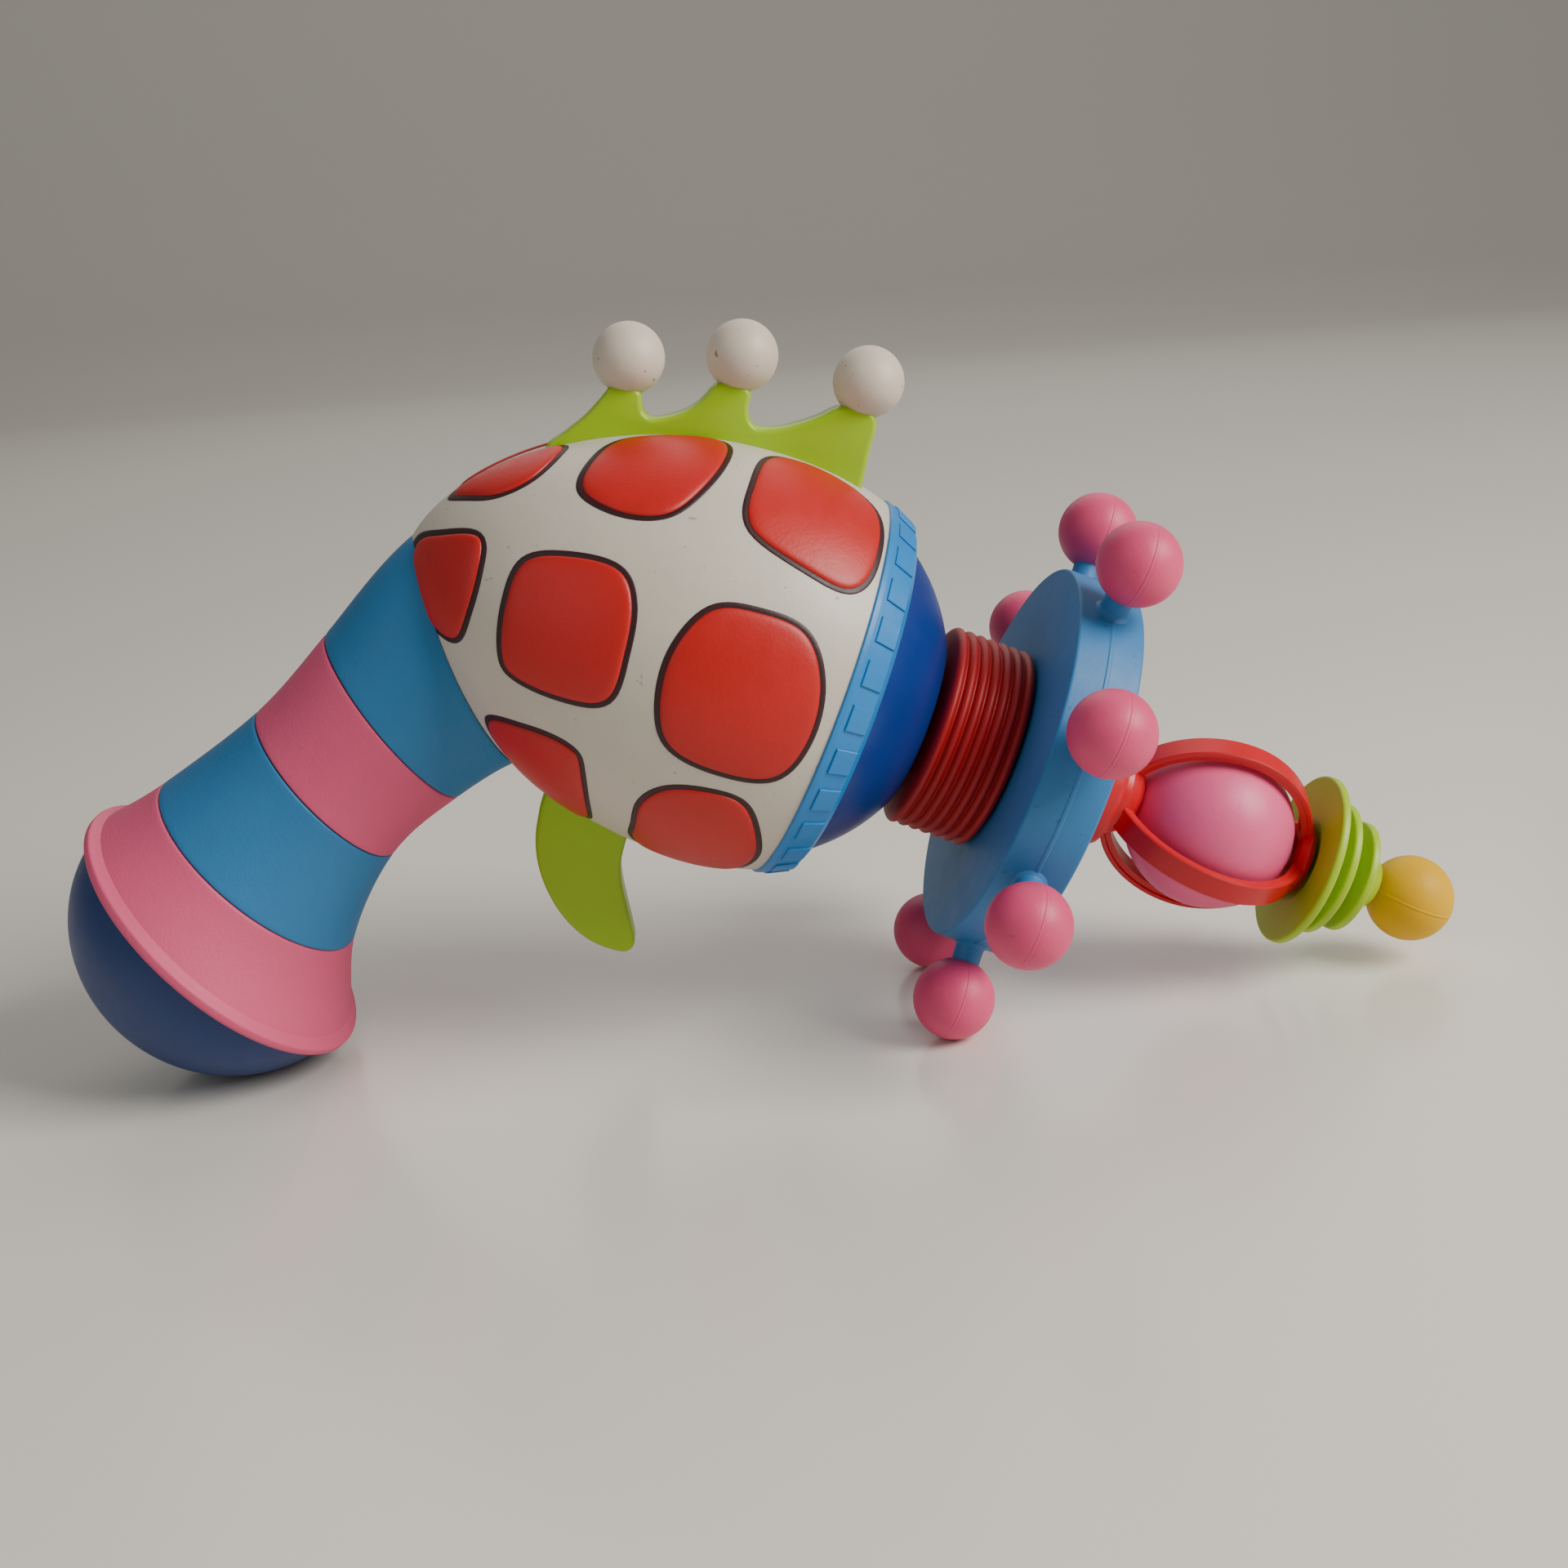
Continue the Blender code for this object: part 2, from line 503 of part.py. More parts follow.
# cradle that carries the pin: two cheeks joined by a web above the trigger
cradle = box("trigger_cradle", (-96.0, -8.6, -19.5), (-76.0, 8.6, -16.5), M_INNER)
for s in (-1, 1):
    y0, y1 = (4.6, 8.6) if s > 0 else (-8.6, -4.6)
    ch = box(f"cut_cheek_{'far' if s > 0 else 'near'}", (-92.0, y0, -32.5), (-80.0, y1, -17.0), None, collection=cut)
    boolean(cradle, ch, 'UNION')
ph = rod("cut_cradle_hole", 2.3, (TRIG_PIVOT[0], -12, TRIG_PIVOT[1]), (TRIG_PIVOT[0], 12, TRIG_PIVOT[1]), None, seg=14, collection=cut)
boolean(cradle, ph)
# return spring, a short coil between the cradle's web and the trigger's heel
pts = []
turns, n = 3, 7
for i in range(turns * n + 1):
    u = i / (turns * n)
    an = 2 * math.pi * turns * u
    pts.append((-93.3 + 1.7 * math.cos(an), 1.7 * math.sin(an), -29.0 + 8.6 * u))
cu = bpy.data.curves.new("trigger_spring", 'CURVE')
cu.dimensions = '3D'
cu.bevel_depth = 0.45 * MM
cu.bevel_resolution = 0
cu.use_fill_caps = True
sp = cu.splines.new('POLY')
sp.points.add(len(pts) - 1)
for p, q in zip(sp.points, pts):
    p.co = (q[0] * MM, q[1] * MM, q[2] * MM, 1)
so = bpy.data.objects.new("trigger_spring", cu)
so.data.materials.append(M_STEEL)
so.parent = frame
col.objects.link(so)

# ---------------------------------------------------------------- rattle capsule inside the egg
turned("rattle_capsule", [(-56.5, 1.2), (-56.5, 13.0), (-60.0, 16.0), (-72.0, 16.0), (-75.5, 13.0), (-75.5, 1.2),
                          (-74.0, 1.2), (-74.0, 12.3), (-71.4, 14.5), (-60.6, 14.5), (-58.0, 12.3), (-58.0, 1.2)],
       M_INNER, seg=18)
for i, (a, y, b) in enumerate([(-66.0, 0.0, -11.0), (-60.5, 4.5, -8.2), (-71.0, -4.5, -8.2), (-65.5, -5.0, -3.0)]):
    ball(f"rattle_bead_{i+1}", 2.4, (a, y, b), M_BEAD, seg=8, rings=6)

# ---------------------------------------------------------------- grip
# stations down the grip: centre (a, b), radius, and direction of the axis
STATIONS = [
    ((-112.5, -6.5), 29.5, (-0.76, -0.65)),
    ((-125.2, -19.4), 26.6, (-0.72, -0.694)),
    ((-134.6, -37.6), 22.6, (-0.540, -0.842)),
    ((-143.8, -57.2), 21.3, (-0.480, -0.877)),
    ((-152.3, -80.2), 26.9, (-0.390, -0.921)),
    ((-154.7, -96.4), 35.4, (-0.410, -0.912)),
]


def catmull(p0, p1, p2, p3, t):
    return 0.5 * ((2 * p1) + (-p0 + p2) * t + (2 * p0 - 5 * p1 + 4 * p2 - p3) * t * t + (-p0 + 3 * p1 - 3 * p2 + p3) * t ** 3)


def grip_at(s):
    """Centre, radius and axis of the grip at station s (0 at the egg, 5 at the butt)."""
    i = min(int(s), len(STATIONS) - 2)
    t = s - i
    idx = [max(0, i - 1), i, i + 1, min(len(STATIONS) - 1, i + 2)]
    vals = [(*STATIONS[k][0], STATIONS[k][1], *STATIONS[k][2]) for k in idx]
    c = [catmull(vals[0][j], vals[1][j], vals[2][j], vals[3][j], t) for j in range(5)]
    return Vector((c[0], 0, c[1])), c[2], Vector((c[3], 0, c[4])).normalized()


def grip_flat(s):
    """Width of the grip's section over its depth: oval near the egg, round at
    the waist."""
    t = [0.64, 0.71, 0.86, 0.96, 1.0, 1.0]
    i = min(int(s), 4)
    return t[i] + (t[i + 1] - t[i]) * (s - i)


def sleeve_loft(name, s0, s1, n, off_out, off_in, material, seg=22, start=0.0, end=0.0, collection=col):
    """Closed sleeve lofted along the bent grip; off_out and off_in are the
    offsets of its two walls from the grip's outer form."""
    bm = bmesh.new()
    rings = []
    sts = [s0 + (s1 - s0) * k / n for k in range(n + 1)]
    for wall, off in (("out", off_out), ("in", off_in)):
        seq = sts if wall == "out" else list(reversed(sts))
        for s in seq:
            c, r, d = grip_at(s)
            if s == s0:
                c = c + d * start
            if s == s1:
                c = c - d * end
            rr = r + off
            u = Vector((0, 1, 0))
            w = d.cross(u)
            u = u * grip_flat(s)
            rings.append([bm.verts.new((c + (u * math.cos(2 * math.pi * k / seg) + w * math.sin(2 * math.pi * k / seg)) * rr) * MM)
                          for k in range(seg)])
    m = len(rings)
    for i in range(m):
        a, b = rings[i], rings[(i + 1) % m]
        for k in range(seg):
            bm.faces.new((a[k], a[(k + 1) % seg], b[(k + 1) % seg], b[k]))
    ob = link(name, finish_bm(bm, name), material, collection)
    smooth(ob)
    return ob


core = sleeve_loft("handle_core", 0.0, 4.84, 6, -3.4, -5.0, M_INNER, seg=16)
b1 = sleeve_loft("grip_band_1_blue", 0.0, 2.0, 4, 0.0, -2.2, M_GBLUE, end=0.15)
b2 = sleeve_loft("grip_band_2_pink", 2.0, 3.0, 2, 0.0, -2.2, M_GPINK, start=0.15, end=0.15)
b3 = sleeve_loft("grip_band_3_blue", 3.0, 4.0, 2, 0.0, -2.2, M_GBLUE, start=0.15, end=0.15)
b4 = sleeve_loft("grip_band_4_pink", 4.0, 4.86, 3, 0.0, -2.2, M_GPINK, start=0.15)
cut_grip = egg_cutter("cut_egg_grip", GAP + 0.25, n=10, seg=28)
boolean(core, cut_grip)
boolean(b1, cut_grip)
# the grip's upper edge covers the ends of the rear pads, which are cut back to it
cover = sleeve_loft("cut_grip_cover", 0.0, 2.0, 5, 0.4, -20.0, None, collection=cut)
for p in pads:
    if "_rear_" in p.name:
        boolean(p, cover)
# butt: rolled rim, dome and the screw that holds it
bc, br, bd = grip_at(5.0)
butt = bpy.data.objects.new("butt_frame", None)
butt.parent = frame
butt.location = bc * MM
butt.rotation_mode = 'QUATERNION'
butt.rotation_quaternion = bd.to_track_quat('Z', 'Y')
col.objects.link(butt)


def turned_butt(name, profile, material, seg=26, collection=col):
    ob = turned(name, profile, material, seg, 0.0, collection, butt)
    ob.location = (0, 0, 0)
    ob.rotation_euler = (0, 0, 0)
    return ob


turned_butt("butt_rim", [(2.2, 34.9), (2.2, 36.6), (1.5, 37.1), (0.3, 37.1), (-0.5, 36.0), (-0.9, 34.9)], M_GPINK)
DB, DH = 34.6, 32.0
dome = [(0.1 + DH * math.cos(u * math.pi / 2 / 7), DB * math.sin(u * math.pi / 2 / 7)) for u in range(8)]
dome_in = [(0.1 + (DH - 2.2) * math.cos(u * math.pi / 2 / 5), (DB - 2.2) * math.sin(u * math.pi / 2 / 5)) for u in range(5, -1, -1)]
turned_butt("butt_cap", [(dome[0][0], 1.0)] + dome[1:] + [(-0.6, DB), (-0.6, DB - 2.2)] + dome_in[:-1] + [(dome_in[-1][0], 1.0)], M_NAVY)
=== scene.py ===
import bpy, bmesh, math, json
from mathutils import Vector, Matrix

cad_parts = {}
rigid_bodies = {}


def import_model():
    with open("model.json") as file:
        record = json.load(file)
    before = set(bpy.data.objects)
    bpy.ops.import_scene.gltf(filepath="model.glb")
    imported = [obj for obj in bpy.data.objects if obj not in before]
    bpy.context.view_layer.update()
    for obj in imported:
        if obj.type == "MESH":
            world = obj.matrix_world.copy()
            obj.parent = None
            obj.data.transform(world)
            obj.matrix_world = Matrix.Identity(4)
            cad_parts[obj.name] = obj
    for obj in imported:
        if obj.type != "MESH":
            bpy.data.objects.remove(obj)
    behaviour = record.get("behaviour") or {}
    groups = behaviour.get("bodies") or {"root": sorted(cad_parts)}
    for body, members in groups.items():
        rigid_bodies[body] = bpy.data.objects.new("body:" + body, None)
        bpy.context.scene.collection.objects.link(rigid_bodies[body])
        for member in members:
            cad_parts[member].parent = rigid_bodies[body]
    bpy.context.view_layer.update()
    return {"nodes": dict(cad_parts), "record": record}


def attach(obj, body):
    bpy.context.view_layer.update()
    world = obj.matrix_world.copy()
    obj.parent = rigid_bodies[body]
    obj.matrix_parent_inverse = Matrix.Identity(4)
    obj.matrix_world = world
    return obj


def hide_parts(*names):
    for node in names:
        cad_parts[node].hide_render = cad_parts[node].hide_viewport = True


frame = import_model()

MM = 0.001
PITCH = math.radians(24.9)
WX, WZ = 0.05897, 0.05545
AX = Vector((math.cos(PITCH), 0, -math.sin(PITCH)))
UP = Vector((math.sin(PITCH), 0, math.cos(PITCH)))
Y = Vector((0, 1, 0))
ORG = Vector((WX, 0, WZ))


def W(a, b, y=0.0):
    """Barrel coordinates in mm to world metres."""
    return ORG + (AX * a + UP * b + Y * y) * MM


# ------------------------------------------------------------------ materials
def lin(c):
    c = c / 255
    return c / 12.92 if c <= 0.04045 else ((c + 0.055) / 1.055) ** 2.4


def plastic(name, rgb, rough=0.4, var=0.10, grain=0.10, grain_scale=1400.0, wave=0.06, sss=0.0,
            coat=0.0, metal=0.0, specks=0.0, speck_rgb=(120, 100, 80), spec=0.5, dirt=None):
    m = bpy.data.materials.new(name)
    m.use_nodes = True
    nt = m.node_tree
    N, L = nt.nodes, nt.links
    bs = N["Principled BSDF"]
    bs.inputs["Metallic"].default_value = metal
    bs.inputs["Specular IOR Level"].default_value = spec
    bs.inputs["Coat Weight"].default_value = coat
    bs.inputs["Coat Roughness"].default_value = 0.25
    if sss:
        bs.inputs["Subsurface Weight"].default_value = sss
        bs.inputs["Subsurface Radius"].default_value = (1.0, 0.7, 0.5)
        bs.inputs["Subsurface Scale"].default_value = 0.0025
    tc = N.new("ShaderNodeTexCoord")
    big = N.new("ShaderNodeTexNoise"); big.inputs["Scale"].default_value = 38; big.inputs["Detail"].default_value = 5
    mid = N.new("ShaderNodeTexNoise"); mid.inputs["Scale"].default_value = 260; mid.inputs["Detail"].default_value = 4
    fine = N.new("ShaderNodeTexNoise"); fine.inputs["Scale"].default_value = grain_scale; fine.inputs["Detail"].default_value = 3
    for n in (big, mid, fine):
        L.new(tc.outputs["Object"], n.inputs["Vector"])
    base = [lin(v) for v in rgb]
    ramp = N.new("ShaderNodeValToRGB")
    e = ramp.color_ramp.elements
    e[0].position, e[1].position = 0.3, 0.72
    e[0].color = (*[v * (1 - var) for v in base], 1)
    e[1].color = (*[min(1, v * (1 + var * 0.8) + 0.002) for v in base], 1)
    L.new(big.outputs["Fac"], ramp.inputs["Fac"])
    col = ramp.outputs["Color"]
    mx = N.new("ShaderNodeMix"); mx.data_type = 'RGBA'; mx.blend_type = 'MULTIPLY'
    mr = N.new("ShaderNodeMapRange")
    mr.inputs["To Min"].default_value = 1 - var * 0.7; mr.inputs["To Max"].default_value = 1 + var * 0.5
    L.new(mid.outputs["Fac"], mr.inputs["Value"])
    mx.inputs["Factor"].default_value = 1.0
    L.new(col, mx.inputs[6]); L.new(mr.outputs["Result"], mx.inputs[7])
    col = mx.outputs[2]
    if specks:
        vo = N.new("ShaderNodeTexNoise"); vo.inputs["Scale"].default_value = 520; vo.inputs["Detail"].default_value = 1
        L.new(tc.outputs["Object"], vo.inputs["Vector"])
        sr = N.new("ShaderNodeMapRange")
        sr.inputs["From Min"].default_value = 0.735; sr.inputs["From Max"].default_value = 0.78
        sr.inputs["To Max"].default_value = specks
        L.new(vo.outputs["Fac"], sr.inputs["Value"])
        m2 = N.new("ShaderNodeMix"); m2.data_type = 'RGBA'
        L.new(sr.outputs["Result"], m2.inputs["Factor"]); L.new(col, m2.inputs[6])
        m2.inputs[7].default_value = (*[lin(v) for v in speck_rgb], 1)
        col = m2.outputs[2]
    L.new(col, bs.inputs["Base Color"])
    rr = N.new("ShaderNodeMapRange")
    rr.inputs["To Min"].default_value = max(0.05, rough - 0.07); rr.inputs["To Max"].default_value = rough + 0.09
    L.new(mid.outputs["Fac"], rr.inputs["Value"]); L.new(rr.outputs["Result"], bs.inputs["Roughness"])
    b1 = N.new("ShaderNodeBump"); b1.inputs["Strength"].default_value = grain; b1.inputs["Distance"].default_value = 0.0003
    b2 = N.new("ShaderNodeBump"); b2.inputs["Strength"].default_value = wave; b2.inputs["Distance"].default_value = 0.0012
    L.new(fine.outputs["Fac"], b1.inputs["Height"]); L.new(mid.outputs["Fac"], b2.inputs["Height"])
    L.new(b2.outputs["Normal"], b1.inputs["Normal"]); L.new(b1.outputs["Normal"], bs.inputs["Normal"])
    return m


M = {
    "shell_ivory": plastic("shell_ivory", (210, 201, 186), 0.40, 0.035, 0.10, 1500, 0.04, sss=0.25, specks=0.55, speck_rgb=(150, 120, 100)),
    "pad_red": plastic("pad_red", (196, 22, 18), 0.42, 0.06, 0.16, 1300, 0.05),
    "outline": plastic("pad_outline", (52, 12, 20), 0.45, 0.12, 0.15, 1200, 0.05),
    "ring_blue": plastic("ring_blue", (26, 128, 200), 0.38, 0.05, 0.08, 1500, 0.05),
    "dome_navy": plastic("dome_navy", (6, 48, 128), 0.38, 0.07, 0.08, 1500, 0.03),
    "butt_navy": plastic("butt_navy", (12, 50, 112), 0.42, 0.07, 0.08, 1500, 0.03),
    "lime_green": plastic("lime_green", (158, 198, 0), 0.33, 0.04, 0.06, 1500, 0.04, sss=0.08),
    "ball_ivory": plastic("ball_ivory", (212, 199, 182), 0.47, 0.05, 0.10, 1300, 0.07, sss=0.15, specks=0.8),
    "grip_blue": plastic("grip_blue", (38, 118, 172), 0.55, 0.05, 0.30, 1700, 0.04),
    "grip_pink": plastic("grip_pink", (220, 84, 124), 0.55, 0.04, 0.30, 1700, 0.04, sss=0.06),
    "neck_red": plastic("neck_red", (172, 8, 18), 0.50, 0.08, 0.05, 1500, 0.04),
    "wheel_blue": plastic("wheel_blue", (46, 120, 178), 0.50, 0.05, 0.12, 1300, 0.05, specks=0.35, speck_rgb=(40, 70, 100)),
    "ball_pink": plastic("ball_pink", (224, 72, 118), 0.47, 0.05, 0.12, 1300, 0.06, sss=0.10, specks=0.3, speck_rgb=(180, 60, 90)),
    "cage_red": plastic("cage_red", (205, 6, 26), 0.36, 0.05, 0.06, 1500, 0.04, sss=0.05),
    "rattle_pink": plastic("rattle_pink", (238, 92, 140), 0.42, 0.04, 0.10, 1400, 0.05, sss=0.05),
    "disc_green": plastic("disc_green", (168, 200, 10), 0.42, 0.06, 0.12, 1300, 0.05, sss=0.06),
    "tip_yellow": plastic("tip_yellow", (226, 172, 0), 0.52, 0.05, 0.18, 900, 0.10, spec=0.25),
    "inner_white": plastic("inner_white", (222, 220, 214), 0.45, 0.04, 0.10, 1300, 0.04),
    "bead_white": plastic("bead_white", (235, 235, 228), 0.35, 0.04, 0.06, 1300, 0.04),
    "spring_steel": plastic("spring_steel", (170, 172, 176), 0.30, 0.06, 0.08, 1800, 0.03, metal=1.0),
}
slots = {s["node"]: s["material_slot"] for s in frame["record"]["subparts"]}
node_body = {n: b for b, ns in frame["record"]["behaviour"]["bodies"].items() for n in ns} \
    if isinstance(frame["record"]["behaviour"]["bodies"], dict) else {}
for name, ob in frame["nodes"].items():
    mt = M.get(slots.get(name), M["inner_white"])
    for i in range(max(1, len(ob.material_slots))):
        if len(ob.material_slots) == 0:
            ob.data.materials.append(mt)
        else:
            ob.material_slots[i].material = mt


# ------------------------------------------------------------------ mesh helpers
def make(name, bm, material, body, replaces=(), sharp=40, weld=True):
    if weld:
        bmesh.ops.remove_doubles(bm, verts=bm.verts, dist=2e-6)
    bmesh.ops.recalc_face_normals(bm, faces=bm.faces)
    me = bpy.data.meshes.new(name)
    bm.to_mesh(me); bm.free()
    me.shade_smooth()
    me.set_sharp_from_angle(angle=math.radians(sharp))
    ob = bpy.data.objects.new(name, me)
    bpy.context.scene.collection.objects.link(ob)
    me.materials.append(M[material])
    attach(ob, body)
    if replaces:
        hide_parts(*replaces)
    return ob


def fillet(prof, rad, n=4, closed=True):
    """Round the corners of a profile of (a, r[, own radius])."""
    out, m = [], len(prof)
    for i, p in enumerate(prof):
        r = p[2] if len(p) > 2 else rad
        if (not closed and i in (0, m - 1)) or r <= 0:
            out.append((p[0], p[1])); continue
        P, A, B = Vector(p[:2]), Vector(prof[i - 1][:2]), Vector(prof[(i + 1) % m][:2])
        da, db = (A - P), (B - P)
        if da.length < 1e-6 or db.length < 1e-6:
            out.append((P.x, P.y)); continue
        ang = da.angle(db)
        t = min(r / max(1e-4, math.tan(ang / 2)), da.length * 0.45, db.length * 0.45)
        a, b = P + da.normalized() * t, P + db.normalized() * t
        for k in range(n + 1):
            u = k / n
            q = a * (1 - u) ** 2 + P * 2 * u * (1 - u) + b * u * u
            out.append((q.x, q.y))
    return out


def revolve(bm, prof, origin, axis, seg=96, closed=True, ref=None):
    axis = axis.normalized()
    u = (ref or (UP if abs(axis.dot(UP)) < 0.9 else AX))
    u = (u - axis * u.dot(axis)).normalized()
    v = axis.cross(u)
    rings = []
    for a, r in prof:
        if r < 1e-5:
            rings.append([bm.verts.new(origin + axis * a * MM)])
        else:
            rings.append([bm.verts.new(origin + (axis * a + (u * math.cos(2 * math.pi * k / seg) + v * math.sin(2 * math.pi * k / seg)) * r) * MM)
                          for k in range(seg)])
    n = len(rings)
    for i in range(n if closed else n - 1):
        A, B = rings[i], rings[(i + 1) % n]
        if len(A) == 1 and len(B) == 1:
            continue
        for k in range(seg):
            j = (k + 1) % seg
            if len(A) == 1:
                bm.faces.new((A[0], B[j], B[k]))
            elif len(B) == 1:
                bm.faces.new((A[k], A[j], B[0]))
            else:
                bm.faces.new((A[k], A[j], B[j], B[k]))
    return rings


def turned(name, prof, material, body, replaces, origin=None, axis=None, seg=96, fil=0.35, n=4, sharp=40, fillets=True):
    bm = bmesh.new()
    p = fillet(prof, fil, n) if fillets else [(q[0], q[1]) for q in prof]
    revolve(bm, p, origin or ORG, axis or AX, seg)
    return make(name, bm, material, body, replaces, sharp)


def seam_ball(name, centre, axis, r, material, body, replaces, seam=0.07, hole=None, seg=72):
    """Moulded ball: two halves meet at a faint raised line square to axis."""
    prof = []
    angs = [0, 4, 9, 15, 21, 28, 35, 42, 49, 56, 63, 69, 75, 80, 84, 87, 88.6, 89.3, 90, 90.7, 91.4, 93, 96, 100, 105, 111, 117, 124,
            131, 138, 145, 152, 159, 165, 171, 176, 180]
    for t in angs:
        rr = r - 0.06 + (seam if abs(t - 90) < 0.8 else 0.0) - (0.05 if 0.9 < abs(t - 90) < 1.6 else 0)
        prof.append((rr * math.cos(math.radians(t)), rr * math.sin(math.radians(t)) if t not in (0, 180) else 0.0))
    bm = bmesh.new()
    revolve(bm, prof, centre, axis, seg, closed=False)
    return make(name, bm, material, body, replaces, 60)


# ------------------------------------------------------------------ egg
EGG_C, EGG_R, EGG_BACK, EGG_FRONT, EGG_END = -70.0, 45.3, 72.8, 56.0, -49.0
TIP_A = EGG_C - EGG_BACK


def egg_r(a, grow=0.0):
    L = (EGG_BACK if a < EGG_C else EGG_FRONT) + grow
    t = min(1.0, abs(a - EGG_C) / L)
    return (EGG_R + grow) * (1 - t * t) ** (0.625 if a < EGG_C else 0.5)


def egg_point(a, th, grow=0.0):
    e = 0.05
    s = (egg_r(a + e) - egg_r(a - e)) / (2 * e)
    n = Vector((-s, 1)).normalized()
    r = egg_r(a) + n.y * grow
    return W(a + n.x * grow, r * math.cos(th), -r * math.sin(th))


def egg_prof(grow, a0, a1, n):
    return [(a1 + (a0 - a1) * math.sin(i / n * math.pi / 2), egg_r(a1 + (a0 - a1) * math.sin(i / n * math.pi / 2), grow)) for i in range(n + 1)]


def cutter(name, prof, origin=None, axis=None, seg=96):
    bm = bmesh.new()
    revolve(bm, prof, origin or ORG, axis or AX, seg)
    bmesh.ops.remove_doubles(bm, verts=bm.verts, dist=1e-6)
    bmesh.ops.recalc_face_normals(bm, faces=bm.faces)
    me = bpy.data.meshes.new(name); bm.to_mesh(me); bm.free()
    ob = bpy.data.objects.new(name, me)
    bpy.context.scene.collection.objects.link(ob)
    return ob


def cut(ob, other, op='DIFFERENCE'):
    m = ob.modifiers.new("b", 'BOOLEAN'); m.operation = op; m.object = other; m.solver = 'EXACT'
    bpy.context.view_layer.update()
    dg = bpy.context.evaluated_depsgraph_get()
    me = bpy.data.meshes.new_from_object(ob.evaluated_get(dg))
    ob.modifiers.clear()
    old = ob.data
    ob.data = me
    mats = [s for s in old.materials]
    me.materials.clear()
    for x in mats:
        me.materials.append(x)
    me.shade_smooth(); me.set_sharp_from_angle(angle=math.radians(35))


out = egg_prof(0, TIP_A, EGG_END - 1.2, 46)
out[-1] = (TIP_A, 0.0)
inn = list(reversed(egg_prof(-2.2, TIP_A + 2.2, EGG_END - 1.2, 30)))
inn[0] = (TIP_A + 2.2, 0.0)
bm = bmesh.new()
revolve(bm, out + inn, ORG, AX, 128)
egg = make("egg_shell_fine", bm, "shell_ivory", "root", ("egg_shell",), 50)

PADS = {
    "front_top": [(-78, 11), (-66, 8), (-53.5, 16), (-52, 39), (-54.8, 51), (-63, 52), (-79, 46), (-80.3, 30)],
    "mid_top": [(-112.5, 42), (-112, 27), (-108, 12), (-97, 7), (-87, 8), (-87.3, 26), (-91.8, 43), (-97, 49), (-105, 49)],
    "rear_top": [(-137.5, 20), (-133, 8), (-119, 8), (-119.2, 20), (-122, 34), (-126.3, 41), (-131, 40)],
    "rear_side": [(-141, 75), (-136, 66), (-128, 64), (-126.2, 81), (-125.7, 100), (-126.1, 117), (-131.9, 125), (-138.9, 128)],
    "mid_side": [(-116.5, 106), (-118.9, 89), (-118.5, 71), (-109.7, 66), (-100, 66), (-95.5, 74), (-93.8, 87), (-93.4, 102), (-102, 107.5), (-113, 111)],
    "front_side": [(-84.1, 98), (-85.7, 83), (-81.3, 69), (-72, 66), (-61.7, 66.5), (-55.4, 78), (-53.9, 93), (-57.2, 106), (-68.5, 108.5), (-79.3, 107)],
    "rear_low": [(-116, 140), (-106, 125), (-97.2, 121.5), (-93.9, 127), (-88.1, 154), (-91, 163), (-98, 164), (-106, 158)],
    "front_low": [(-79.2, 141), (-80.4, 128), (-76.7, 119), (-68.3, 115), (-60.5, 116), (-54.8, 130), (-53.4, 142), (-56, 157), (-64, 163), (-74, 160), (-78.5, 151)],
}


def smooth_loop(pts, n=8):
    out, m = [], len(pts)
    for i in range(m):
        p = [Vector(pts[(i + k) % m]) for k in (-1, 0, 1, 2)]
        for j in range(n):
            t = j / n
            # uniform B-spline pulled towards the points
            b = ((1 - t) ** 3 * p[0] + (3 * t ** 3 - 6 * t * t + 4) * p[1] + (-3 * t ** 3 + 3 * t * t + 3 * t + 1) * p[2] + t ** 3 * p[3]) / 6
            c = 0.5 * (2 * p[1] + (p[2] - p[0]) * t + (2 * p[0] - 5 * p[1] + 4 * p[2] - p[3]) * t * t + (3 * p[1] - p[0] - 3 * p[2] + p[3]) * t ** 3)
            out.append(b * 0.45 + c * 0.55)
    return out


def patch(name, loop, sgn, levels, material, replaces):
    """Patch on the egg.  levels: list of (inset in mm, height in mm) from the foot of the edge to the middle."""
    c = sum((Vector(p) for p in loop), Vector((0, 0))) / len(loop)
    R = egg_r(c.x)
    pts = smooth_loop([((p[0] - c.x), math.radians(p[1] - c.y) * egg_r(p[0])) for p in loop])
    m = len(pts)
    bm = bmesh.new()
    rings = []
    cen = Vector((0, 0))
    for inset, h in levels:
        ring = []
        for k, p in enumerate(pts):
            tan = (pts[(k + 1) % m] - pts[k - 1]).normalized()
            nor = Vector((tan.y, -tan.x))
            if nor.dot(p) > 0:
                nor = -nor
            if inset <= 3.0:
                q = p + nor * inset
            else:
                f = inset / 100.0
                q = (p + nor * 3.0) * (1 - f)
            a = c.x + q.x
            a = max(TIP_A + 0.6, min(a, EGG_END - 2.0))
            th = math.radians(c.y) + q.y / max(4.0, egg_r(c.x + q.x))
            ring.append(bm.verts.new(egg_point(a, sgn * th, h)))
        rings.append(ring)
    for A, B in zip(rings, rings[1:]):
        for k in range(m):
            j = (k + 1) % m
            bm.faces.new((A[k], A[j], B[j], B[k]))
    ctr = bm.verts.new(egg_point(c.x, sgn * math.radians(c.y), levels[-1][1]))
    foot = bm.verts.new(egg_point(c.x, sgn * math.radians(c.y), -1.6))
    for k in range(m):
        j = (k + 1) % m
        bm.faces.new((rings[-1][k], rings[-1][j], ctr))
        bm.faces.new((rings[0][j], rings[0][k], foot))
    return make(name, bm, material, "root", replaces, 60)


